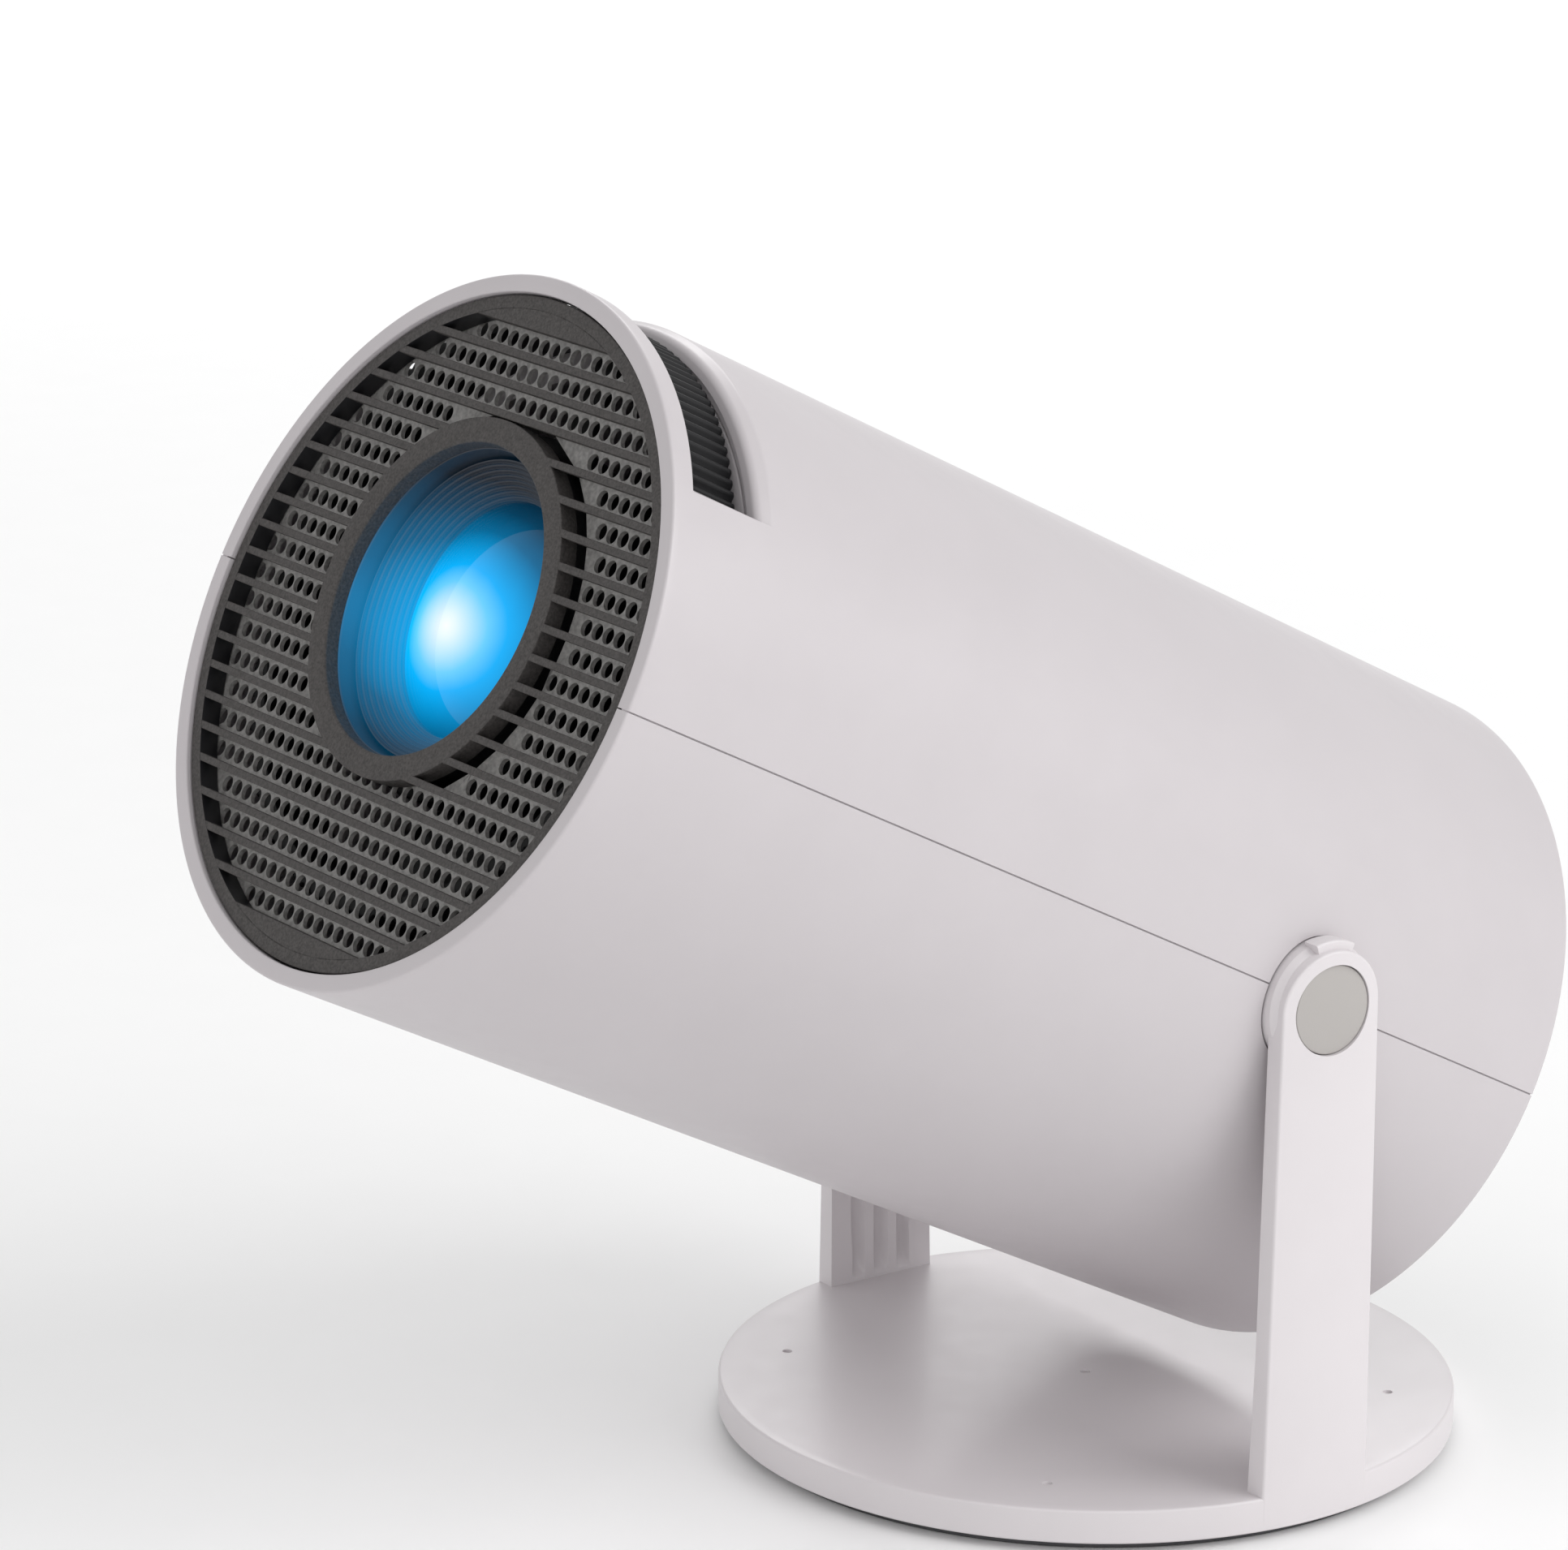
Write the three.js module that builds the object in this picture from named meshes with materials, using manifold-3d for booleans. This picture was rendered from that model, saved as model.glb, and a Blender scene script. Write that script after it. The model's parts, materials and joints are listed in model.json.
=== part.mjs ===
// Home projector: a cylinder-shaped head that tilts between the two arms of a round table stand.
// Millimetres, +Z up. The origin is the centre of the foot pad's underside; the lens looks along -Y.
import * as THREE from "three";
import { mergeVertices } from "three/addons/utils/BufferGeometryUtils.js";
import Module from "manifold-3d";

const wasm = await Module();
wasm.setup();

// ---- Driving dimensions ----
const GAP = 0.3; // between pieces that lie against each other
const FAR = 60; // beyond the arms' and the tube's outer faces, where cutters end

// Stand
const PAD_R = 53.9;
const PAD_T = 1.6;
const BASE_R = 56.3;
const BASE_T = 5.2;
const BASE_TOP = PAD_T + BASE_T;
const BASE_SKIN = 2;
const RIM_WALL = 3.2;
const HINGE_Z = 80;
const HINGE_Y = -0.8; // the tilt axis lies a little ahead of the disc's centre
const ARM_IN = 52.4; // inner face of each arm beside the head
const ARM_FOOT_IN = 51.8;
const ARM_HALF_TOP = 8.85;
const ARM_HALF_FOOT = 9.75;
const BOSS_R = 9.5;
const BOSS_IN = 50.5;
const BOSS_OUT = 54.4; // where the boss ends inside the arm
const FIXING_R = 46.3; // circle of the base screws, on the diagonals
const DIMPLE_R = 0.75;
const DIMPLE_T = 0.5;
const PILOT_R = 1.4; // bores that take the screws' threads
const THREAD_R = 1.1;
const GROOVES = 3;
const GROOVE_PITCH = 4.4;
const GROOVE_W = 2.4;

// Head, in its own frame: origin on the tilt axis, Y to the rear, Z square to the tube's axis
const TILT = THREE.MathUtils.degToRad(27.19);
const TUBE_R = 52;
const TUBE_IN = 49.4;
const FRONT = 134.4; // from the tilt axis to the front plane
const LENGTH = 182.8;
const SEAM = GAP / 2; // each shell stops this far from the middle plane
const LENS_Z = 4.9; // the lens axis lies above the tube's axis

// Focus window in the upper shell
const WINDOW_FROM = 3.7;
const WINDOW_TO = 16;
const WINDOW_RAMP = 18.2;
const WINDOW_DEG = 36; // from the middle plane, on both sides

// Front grille
const PANEL_R = 49.1;
const GRILLE_FRONT = 0.65;
const GRILLE_T = 2;
const SLOT_PITCH = 4.27;
const SLOT_H = 3.17;
const SLOTS_EACH_WAY = 10;
const SLOT_REACH = 47.1;
const LENS_RING_OUT = 26.4;
const LENS_RING_IN = 22.7;

// Pivot
const CAP_R = 6.65;
const CAP_BACK = 55.2;
const CAP_FACE = 55.85;
const SHANK_R = 3.4;

const ROUND = 64; // sides of the large circles
const MEDIUM = 32; // sides of the middling circles
const SMALL = 20; // sides of the small circles

// ---- Materials ----
function finish(color, roughness, metalness = 0) {
  return new THREE.MeshStandardMaterial({ color, roughness, metalness });
}
const FINISHES = {
  white: finish(0xdcd9db, 0.38),
  charcoal: finish(0x4b4a4b, 0.62),
  mesh: finish(0x38383a, 0.5),
  black: finish(0x1c1c1e, 0.45),
  rubber: finish(0x2a2a2c, 0.85),
  cap: finish(0xc1bcb8, 0.55),
  steel: finish(0xb4b6b8, 0.32, 1),
  weight: finish(0x8d9094, 0.45, 1),
  aluminium: finish(0xc6c8ca, 0.35, 1),
  glass: finish(0x9fc6e8, 0.05),
  board: finish(0x1f5a3a, 0.55),
  lamp: finish(0xf3f6ff, 0.3),
};

// ---- Solids ----
function geometryToSolid(geometry) {
  const bare = geometry.clone();
  bare.deleteAttribute("normal");
  bare.deleteAttribute("uv");
  const merged = mergeVertices(bare, 1e-4);
  const corners = new Uint32Array(merged.index.array);
  const make = () =>
    new wasm.Manifold(
      new wasm.Mesh({ numProp: 3, vertProperties: merged.attributes.position.array, triVerts: corners }),
    );
  const first = make();
  if (first.volume() > 0) return first;
  for (let i = 0; i < corners.length; i += 3) {
    const held = corners[i + 1];
    corners[i + 1] = corners[i + 2];
    corners[i + 2] = held;
  }
  return make();
}

function solidToGeometry(solid) {
  const mesh = solid.getMesh();
  const geometry = new THREE.BufferGeometry();
  geometry.setAttribute("position", new THREE.BufferAttribute(new Float32Array(mesh.vertProperties), 3));
  geometry.setIndex(new THREE.BufferAttribute(new Uint32Array(mesh.triVerts), 1));
  geometry.computeVertexNormals();
  return geometry;
}

function join(...solids) {
  return solids.reduce((sum, next) => sum.add(next));
}

// A box from its lowest to its highest corner.
function block(low, high) {
  const size = high.map((value, i) => value - low[i]);
  const geometry = new THREE.BoxGeometry(...size);
  geometry.translate(...low.map((value, i) => value + size[i] / 2));
  return geometryToSolid(geometry);
}

// A profile of [radius, y] points turned about the line x = 0, z = height.
function turned(points, { sides = ROUND, height = 0 } = {}) {
  const profile = points.map(([radius, y]) => new THREE.Vector2(radius, y));
  const geometry = new THREE.LatheGeometry(profile, sides);
  geometry.translate(0, 0, height);
  return geometryToSolid(geometry);
}

// A ring, or a disc where inner is 0, from depth y0 to depth y1.
function ringAlongY(inner, outer, y0, y1, options) {
  const points = [
    [inner, y0],
    [outer, y0],
    [outer, y1],
    [inner, y1],
  ];
  if (inner > 0) points.push([inner, y0]);
  return turned(points, options);
}

// The same profile turned about the vertical Z axis: points are [radius, z].
function turnedAboutZ(points, { sides = ROUND, at = [0, 0] } = {}) {
  const profile = points.map(([radius, z]) => new THREE.Vector2(radius, z));
  const geometry = new THREE.LatheGeometry(profile, sides);
  geometry.rotateX(Math.PI / 2);
  geometry.translate(at[0], at[1], 0);
  return geometryToSolid(geometry);
}

// A profile of [radius, x] points turned about a line along X, on the given side of the object.
function turnedAboutX(points, { side = 1, sides = SMALL, at = [0, 0] } = {}) {
  const profile = points.map(([radius, x]) => new THREE.Vector2(radius, x));
  const geometry = new THREE.LatheGeometry(profile, sides);
  geometry.rotateZ((-side * Math.PI) / 2);
  geometry.translate(0, at[0], at[1]);
  return geometryToSolid(geometry);
}

function rodAlongX(radius, from, to, options) {
  const points = [
    [0, from],
    [radius, from],
    [radius, to],
    [0, to],
  ];
  return turnedAboutX(points, options);
}

function rodAlongZ(radius, from, to, options) {
  const points = [
    [0, from],
    [radius, from],
    [radius, to],
    [0, to],
  ];
  return turnedAboutZ(points, { sides: SMALL, ...options });
}

// An outline of [x, z] points carried along Y from y0 to y1.
function prismAlongY(outline, y0, y1) {
  const shape = new THREE.Shape(outline.map(([x, z]) => new THREE.Vector2(x, z)));
  const geometry = new THREE.ExtrudeGeometry(shape, { depth: y1 - y0, bevelEnabled: false });
  // Shape x stays X, shape y becomes Z and the depth becomes Y.
  geometry.applyMatrix4(new THREE.Matrix4().set(1, 0, 0, 0, 0, 0, 1, y0, 0, 1, 0, 0, 0, 0, 0, 1));
  return geometryToSolid(geometry);
}

// An outline of [y, z] points carried along X from x0 to x1.
function prismAlongX(outline, x0, x1) {
  const shape = new THREE.Shape(outline.map(([y, z]) => new THREE.Vector2(y, z)));
  const geometry = new THREE.ExtrudeGeometry(shape, { depth: x1 - x0, bevelEnabled: false });
  // Shape x becomes Y, shape y becomes Z and the depth becomes X.
  geometry.applyMatrix4(new THREE.Matrix4().set(0, 0, 1, x0, 1, 0, 0, 0, 0, 1, 0, 0, 0, 0, 0, 1));
  return geometryToSolid(geometry);
}

// Points along an arc, both ends included.
function arcPoints(radius, count, from, to) {
  return Array.from({ length: count }, (_, i) => {
    const angle = from + ((to - from) * i) / (count - 1);
    return [radius * Math.cos(angle), radius * Math.sin(angle)];
  });
}

function node(group, name, solid, material) {
  const mesh = new THREE.Mesh(solidToGeometry(solid), FINISHES[material].clone());
  mesh.name = name;
  group.add(mesh);
}

const SIDES = [
  ["right", 1],
  ["left", -1],
];
const DIAGONALS = [45, 135, 225, 315].map((degrees) => {
  const angle = THREE.MathUtils.degToRad(degrees);
  return [FIXING_R * Math.cos(angle), FIXING_R * Math.sin(angle)];
});

// ---- Stand ----
const HINGE = [HINGE_Y, HINGE_Z];

function baseShell() {
  const skinUnder = BASE_TOP - BASE_SKIN;
  const rimIn = BASE_R - RIM_WALL;
  const disc = turnedAboutZ([
    [0, skinUnder],
    [rimIn, skinUnder],
    [rimIn, PAD_T],
    [BASE_R - 0.2, PAD_T],
    [BASE_R, PAD_T + 0.2],
    [BASE_R, BASE_TOP - 0.3],
    [BASE_R - 0.3, BASE_TOP],
    [0, BASE_TOP],
  ]);
  const dimple = (at) => rodAlongZ(DIMPLE_R, BASE_TOP - DIMPLE_T, BASE_TOP + 1, { sides: 12, at });
  const screwHole = (at) => rodAlongZ(PILOT_R, skinUnder - 1, skinUnder + 0.9, { sides: 12, at });
  const holes = [dimple([0, 0]), ...DIAGONALS.map(dimple), ...DIAGONALS.map(screwHole)];
  return holes.reduce((body, hole) => body.subtract(hole), disc);
}

// One arm: a tapering blade with a half-round top, whose outer face lies on the disc's own cylinder.
function arm(side) {
  const foot = BASE_TOP - 1;
  const above = HINGE_Z + 15;
  const halfRound = arcPoints(ARM_HALF_TOP, 25, 0, Math.PI).map(([y, z]) => [y + HINGE_Y, z + HINGE_Z]);
  const outline = [[HINGE_Y - ARM_HALF_FOOT, foot], [HINGE_Y + ARM_HALF_FOOT, foot], ...halfRound];
  const blade = prismAlongX(outline, 40, FAR);
  const draftTop = 28;
  const thickness = prismAlongY(
    [
      [ARM_FOOT_IN, foot],
      [FAR, foot],
      [FAR, above],
      [ARM_IN, above],
      [ARM_IN, draftTop],
    ],
    -20,
    20,
  );
  const cylinder = turnedAboutZ([
    [0, 0],
    [BASE_R, 0],
    [BASE_R, above],
    [0, above],
  ]);
  const boss = turnedAboutX(
    [
      [0, BOSS_IN],
      [BOSS_R, BOSS_IN],
      [BOSS_R, 53.2],
      [ARM_HALF_TOP, BOSS_OUT],
      [0, BOSS_OUT],
    ],
    { at: HINGE, sides: MEDIUM },
  );
  const lugFrom = THREE.MathUtils.degToRad(64);
  const lugTo = THREE.MathUtils.degToRad(105);
  const lugOutline = [
    ...arcPoints(ARM_HALF_TOP + 1.3, 9, lugFrom, lugTo),
    ...arcPoints(8.4, 9, lugTo, lugFrom),
  ].map(([y, z]) => [y + HINGE_Y, z + HINGE_Z]);
  const lug = prismAlongX(lugOutline, 52.3, 55.3);
  const grooves = Array.from({ length: GROOVES }, (_, i) => {
    const middle = HINGE_Y + (i - (GROOVES - 1) / 2) * GROOVE_PITCH;
    const floor = ARM_IN + 1;
    const channel = [
      [49, BASE_TOP + 0.9],
      [floor, BASE_TOP + 7.5],
      [floor, 62],
      [49, 66],
    ];
    return prismAlongY(channel, middle - GROOVE_W / 2, middle + GROOVE_W / 2);
  });
  const bore = rodAlongX(SHANK_R + GAP, 45, FAR, { at: HINGE });
  const capRecess = rodAlongX(CAP_R + GAP, 53, FAR, { at: HINGE, sides: MEDIUM });
  let solid = blade.intersect(thickness);
  solid = grooves.reduce((body, groove) => body.subtract(groove), solid);
  solid = join(solid, boss, lug).intersect(cylinder).subtract(bore).subtract(capRecess);
  return side > 0 ? solid : solid.mirror([1, 0, 0]);
}

function buildStand(group) {
  node(group, "stand_frame", join(baseShell(), arm(1), arm(-1)), "white");

  const clear = 0.1;
  const coverTop = PAD_T + 1.5;
  const coverR = BASE_R - RIM_WALL - GAP;
  const weightR = coverR - 2;
  const weightTop = BASE_TOP - BASE_SKIN - clear;
  const holes = (radius) => DIAGONALS.map((at) => rodAlongZ(radius, 0, 20, { sides: 12, at }));
  const drilled = (solid, radius) => holes(radius).reduce((body, hole) => body.subtract(hole), solid);
  const pad = turnedAboutZ([
    [0, 0],
    [PAD_R - 0.4, 0],
    [PAD_R, 0.4],
    [PAD_R, PAD_T - clear],
    [0, PAD_T - clear],
  ]);
  const cover = turnedAboutZ([
    [0, PAD_T],
    [coverR, PAD_T],
    [coverR, coverTop],
    [0, coverTop],
  ]);
  const weight = turnedAboutZ([
    [0, coverTop + clear],
    [weightR, coverTop + clear],
    [weightR, weightTop],
    [0, weightTop],
  ]);
  node(group, "foot_pad", pad, "rubber");
  node(group, "base_cover", drilled(cover, 3), "black");
  node(group, "base_weight", drilled(weight, 1.7), "weight");
  const headR = 2.6;
  const headUnder = PAD_T + clear;
  const screwTip = BASE_TOP - BASE_SKIN + 0.8;
  DIAGONALS.forEach((at, i) => {
    const screw = turnedAboutZ(
      [
        [0, headUnder],
        [headR, headUnder],
        [headR, PAD_T + 1.2],
        [THREAD_R, PAD_T + 1.6],
        [THREAD_R, screwTip],
        [0, screwTip],
      ],
      { sides: 12, at },
    );
    node(group, `base_screw_${i + 1}`, screw, "steel");
  });

  for (const [label, side] of SIDES) {
    const about = { side, at: HINGE };
    const screw = turnedAboutX(
      [
        [0, 39.5],
        [SHANK_R, 39.5],
        [SHANK_R, 53.3],
        [6, 53.3],
        [6, 54.5],
        [5.4, 54.9],
        [0, 54.9],
      ],
      about,
    );
    const slotAtRight = block([54.1, HINGE_Y - 4, HINGE_Z - 0.6], [56, HINGE_Y + 4, HINGE_Z + 0.6]);
    const driverSlot = side > 0 ? slotAtRight : slotAtRight.mirror([1, 0, 0]);
    node(group, `pivot_screw_${label}`, screw.subtract(driverSlot), "steel");
    const hole = rodAlongX(SHANK_R + GAP, 30, FAR, about);
    node(group, `pivot_washer_${label}`, rodAlongX(7, 43.5, 44.3, about).subtract(hole), "steel");
    const nut = rodAlongX(6.4, 39.9, 43.2, { ...about, sides: 6 });
    node(group, `pivot_nut_${label}`, nut.subtract(hole), "steel");
    const cap = turnedAboutX(
      [
        [0, CAP_BACK],
        [CAP_R, CAP_BACK],
        [CAP_R, CAP_FACE - 0.15],
        [CAP_R - 0.15, CAP_FACE],
        [0, CAP_FACE],
      ],
      { ...about, sides: MEDIUM },
    );
    node(group, `pivot_cap_${label}`, cap, "cap");
  }
}

// ---- Head ----
const depth = (d) => d - FRONT; // a distance behind the front plane, as a Y value
const PANEL_SCREW_R = 46.2; // circle of the rear panel's screws
const PANEL_SCREWS = [35, 145, 215, 325].map((degrees) => {
  const angle = THREE.MathUtils.degToRad(degrees);
  return [PANEL_SCREW_R * Math.cos(angle), PANEL_SCREW_R * Math.sin(angle)];
});

// A rod along Y at each of the rear panel's screws, from depth d0 to depth d1.
function rodsAtPanelScrews(radius, d0, d1, sides) {
  const rod = ringAlongY(0, radius, depth(d0), depth(d1), { sides });
  return PANEL_SCREWS.map(([x, z]) => rod.translate([x, 0, z]));
}

// The tube's wall has one inward bead behind each end panel, and a thick round pad at each pivot.
function wholeTube() {
  const wall = [
    [TUBE_IN, 0],
    [TUBE_R - 0.25, 0],
    [TUBE_R, 0.25],
    [TUBE_R, LENGTH - 0.4],
    [TUBE_R - 0.4, LENGTH],
    [TUBE_IN, LENGTH],
    [TUBE_IN, 179.3],
    [47.4, 179.3],
    [47.4, 177.9],
    [TUBE_IN, 177.9],
    [TUBE_IN, 3.65],
    [47.8, 3.65],
    [47.8, 2.95],
    [TUBE_IN, 2.95],
    [TUBE_IN, 0],
  ];
  const tube = turned(wall.map(([radius, d]) => [radius, depth(d)]));
  const inside = ringAlongY(0, 51, -30, 30);
  let solid = tube;
  for (const [, side] of SIDES) {
    solid = solid.add(rodAlongX(13, 44.6, TUBE_R, { side, sides: MEDIUM }).intersect(inside));
  }
  for (const [, side] of SIDES) {
    solid = solid.subtract(rodAlongX(BOSS_R + GAP, BOSS_IN - GAP, FAR, { side, sides: MEDIUM }));
    solid = solid.subtract(rodAlongX(SHANK_R + 0.4, 40, FAR, { side }));
  }
  return solid;
}

// The focus window: a band cut through the wall, with a ramp down to it from behind.
function windowCutter() {
  const rampFoot = TUBE_R - 1; // the ramp goes through the outer part of the wall only
  const inner = 46; // inside the wall
  const slope = (WINDOW_RAMP - WINDOW_TO) / (TUBE_R - rampFoot);
  const band = turned(
    [
      [inner, WINDOW_FROM],
      [TUBE_R + 2, WINDOW_FROM],
      [TUBE_R + 2, WINDOW_RAMP + 2 * slope],
      [rampFoot, WINDOW_TO],
      [inner, WINDOW_TO],
      [inner, WINDOW_FROM],
    ].map(([radius, d]) => [radius, depth(d)]),
  );
  const low = THREE.MathUtils.degToRad(WINDOW_DEG);
  const wedge = [[0, 0], ...arcPoints(80, 13, low, Math.PI - low)];
  return band.intersect(prismAlongY(wedge, depth(0), depth(40)));
}

function buildShells(group) {
  const bosses = join(...rodsAtPanelScrews(3.5, 166, 178.5, 16));
  const boreholes = join(...rodsAtPanelScrews(PILOT_R, 167.5, 190, 12));
  const tube = wholeTube().add(bosses).subtract(boreholes);
  const upperHalf = block([-FAR, depth(-5), SEAM], [FAR, depth(LENGTH + 5), FAR]);
  const lowerHalf = block([-FAR, depth(-5), -FAR], [FAR, depth(LENGTH + 5), -SEAM]);
  node(group, "upper_shell", tube.intersect(upperHalf).subtract(windowCutter()), "white");
  node(group, "lower_shell", tube.intersect(lowerHalf), "white");
}

// Level slots between z limits, clipped to a circle and kept clear of a round island.
function slots({ height, rows, reach, from, to, island }) {
  const bars = rows.map((z) => block([-FAR, from, z - height / 2], [FAR, to, z + height / 2]));
  let cut = join(...bars).intersect(ringAlongY(0, reach, from - 1, to + 1));
  if (island) cut = cut.subtract(ringAlongY(0, island, from - 1, to + 1, { height: LENS_Z }));
  return cut;
}

function buildFront(group) {
  const back = GRILLE_FRONT + GRILLE_T;
  const rows = Array.from({ length: 2 * SLOTS_EACH_WAY + 1 }, (_, i) => (i - SLOTS_EACH_WAY) * SLOT_PITCH);
  const cut = slots({
    height: SLOT_H,
    rows,
    reach: SLOT_REACH,
    from: depth(0),
    to: depth(5),
    island: LENS_RING_OUT,
  });
  const lensHole = ringAlongY(0, LENS_RING_IN, depth(-1), depth(6), { height: LENS_Z });
  const plate = ringAlongY(0, PANEL_R, depth(GRILLE_FRONT), depth(back));
  node(group, "front_grille", plate.subtract(cut).subtract(lensHole), "charcoal");

  const meshHole = ringAlongY(0, 28, depth(3), depth(6), { height: LENS_Z });
  const meshPlate = ringAlongY(0, 47.3, depth(3.95), depth(4.65));
  node(group, "mesh_plate", meshPlate.subtract(meshHole), "mesh");
}

const RIBS = 150;

function ribbedRing(outer, root, inner, y0, y1) {
  const outline = Array.from({ length: 2 * RIBS }, (_, i) => {
    const angle = (Math.PI * i) / RIBS;
    const radius = i % 2 ? root : outer;
    return [radius * Math.cos(angle), radius * Math.sin(angle)];
  });
  const bore = ringAlongY(0, inner, y0 - 1, y1 + 1, { sides: MEDIUM });
  return prismAlongY(outline, y0, y1).subtract(bore);
}

function lifted(solid) {
  return solid.translate([0, 0, LENS_Z]);
}

function buildFocus(group) {
  const hub = ringAlongY(24.4, 26.8, depth(9), depth(15.4), { sides: MEDIUM });
  let wheel = join(ribbedRing(45, 44.2, 41.5, depth(5.3), depth(15.6)), hub);
  for (let i = 0; i < 3; i += 1) {
    const spoke = block([25.4, depth(12.6), -2.5], [42.5, depth(15.2), 2.5]);
    wheel = wheel.add(spoke.rotate([0, 30 + 120 * i, 0]));
  }
  node(group, "focus_wheel", lifted(wheel), "black");

  const guide = [
    [22.5, 3],
    [24.1, 3],
    [24.1, 43.4],
    [31, 43.4],
    [31, 45.8],
    [22.5, 45.8],
    [22.5, 3],
  ].map(([radius, d]) => [radius, depth(d)]);
  node(group, "lens_guide", turned(guide, { sides: MEDIUM, height: LENS_Z }), "black");

  const cell = [
    [22.1, 8],
    [22.1, 40],
    [12.4, 40],
    [12.4, 31],
    [12, 31],
    [12, 26.5],
    [14, 26.5],
    [14, 23],
    [16, 23],
    [16, 19.5],
    [18, 19.5],
    [18, 15.6],
    [20.6, 15.6],
    [20.6, 8],
    [22.1, 8],
  ].map(([radius, d]) => [radius, depth(d)]);
  node(group, "lens_cell", turned(cell, { sides: MEDIUM, height: LENS_Z }), "black");
  lens(group, "front_lens", 20.3, 10.4, 5.2, 15.2);
  lens(group, "rear_lens", 12.1, 33, 31.4, 38);
}

// A lens whose rim starts at rimFrom, with curved faces that reach front and back on the axis.
function lens(group, name, radius, rimFrom, front, back) {
  const steps = 3;
  const rimTo = back - (back - rimFrom) * 0.35;
  const faceIn = Array.from({ length: steps + 1 }, (_, i) => {
    const r = (radius * i) / steps;
    return [r, front + (rimFrom - front) * (r / radius) ** 2];
  });
  const faceOut = Array.from({ length: steps + 1 }, (_, i) => {
    const r = radius * (1 - i / steps);
    return [r, back - (back - rimTo) * (r / radius) ** 2];
  });
  const profile = [...faceIn, ...faceOut].map(([r, d]) => [r, depth(d)]);
  node(group, name, turned(profile, { sides: SMALL, height: LENS_Z }), "glass");
}

// ---- Light engine ----
const ENGINE_X = 31;
const ENGINE_FROM = 46.2;
const ENGINE_TO = 112;
const ENGINE_LOW = LENS_Z - 27;
const ENGINE_TOP = LENS_Z + 27;
const ENGINE_WALL = 2;

// An upright plate across the light path.
function crossPlate(halfX, halfZ, from, to) {
  return block([-halfX, depth(from), LENS_Z - halfZ], [halfX, depth(to), LENS_Z + halfZ]);
}

function buildEngine(group) {
  const outer = block([-ENGINE_X, depth(ENGINE_FROM), ENGINE_LOW], [ENGINE_X, depth(ENGINE_TO), ENGINE_TOP]);
  const hollow = block(
    [-ENGINE_X + ENGINE_WALL, depth(ENGINE_FROM + ENGINE_WALL), ENGINE_LOW + ENGINE_WALL],
    [ENGINE_X - ENGINE_WALL, depth(ENGINE_TO - ENGINE_WALL), ENGINE_TOP + 5],
  );
  const frontHole = ringAlongY(0, 18, depth(40), depth(55), { sides: MEDIUM, height: LENS_Z });
  const rearHole = crossPlate(12, 12, 105, 120);
  node(group, "engine_housing", outer.subtract(hollow).subtract(frontHole).subtract(rearHole), "black");
  const lid = block(
    [-ENGINE_X, depth(ENGINE_FROM), ENGINE_TOP + GAP],
    [ENGINE_X, depth(ENGINE_TO), ENGINE_TOP + GAP + 2],
  );
  node(group, "engine_lid", lid, "black");
  node(group, "fresnel_lens_front", crossPlate(27, 22, 56, 58), "glass");
  const frame = crossPlate(28, 23, 61, 64).subtract(crossPlate(25, 19, 60, 65));
  node(group, "lcd_frame", frame, "steel");
  node(group, "lcd_panel", crossPlate(24.7, 18.7, 61.8, 63.2), "glass");
  node(group, "fresnel_lens_rear", crossPlate(27, 22, 67, 69), "glass");
  node(group, "heat_glass", crossPlate(26, 21, 72, 73.6), "glass");

  // Square reflector funnel from the lamp to the panel.
  const funnel = (half0, half1, from, to) => {
    const geometry = new THREE.CylinderGeometry(half1 * Math.SQRT2, half0 * Math.SQRT2, to - from, 4, 1);
    geometry.rotateY(Math.PI / 4);
    geometry.translate(0, depth((from + to) / 2), LENS_Z);
    return geometryToSolid(geometry);
  };
  const reflector = funnel(24, 10.5, 77, 104).subtract(funnel(23.1, 9.1, 76.4, 104.6));
  node(group, "reflector", reflector, "aluminium");

  const board = crossPlate(16, 16, 112.4, 114);
  const chip = crossPlate(6, 6, 110.4, 112.6);
  node(group, "led_board", board.add(chip), "lamp");

  const plate = crossPlate(26, 24, 114.4, 118.4);
  const fins = Array.from({ length: 11 }, (_, i) => {
    const x = (i - 5) * 5;
    return block([x - 0.7, depth(118), LENS_Z - 24], [x + 0.7, depth(136), LENS_Z + 24]);
  });
  node(group, "heat_sink", join(plate, ...fins), "aluminium");
}

function buildFan(group) {
  const half = 28;
  const frame = crossPlate(half, half, 141, 153);
  const bore = ringAlongY(0, 26.6, depth(139), depth(151.4), { sides: MEDIUM, height: LENS_Z });
  const rearRing = ringAlongY(9, 26.6, depth(150), depth(155), { sides: MEDIUM, height: LENS_Z });
  const strutX = crossPlate(28, 1.3, 151.4, 153);
  const strutZ = crossPlate(1.3, 27, 151.4, 153);
  node(group, "fan_frame", join(frame.subtract(bore).subtract(rearRing), strutX, strutZ), "black");
  let rotor = ringAlongY(0, 10, depth(142), depth(151), { sides: SMALL });
  for (let i = 0; i < 7; i += 1) {
    const blade = block([8, depth(143.2), -0.6], [25.8, depth(149.8), 0.6]);
    const middle = depth(146.5);
    const pitched = blade.translate([0, -middle, 0]).rotate([32, 0, 0]).translate([0, middle, 0]);
    rotor = rotor.add(pitched.rotate([0, (360 * i) / 7, 0]));
  }
  node(group, "fan_rotor", lifted(rotor), "black");
}

// ---- Electronics ----
const MAIN_TOP = -28;
const PORT_ROW = MAIN_TOP + GAP;

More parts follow.
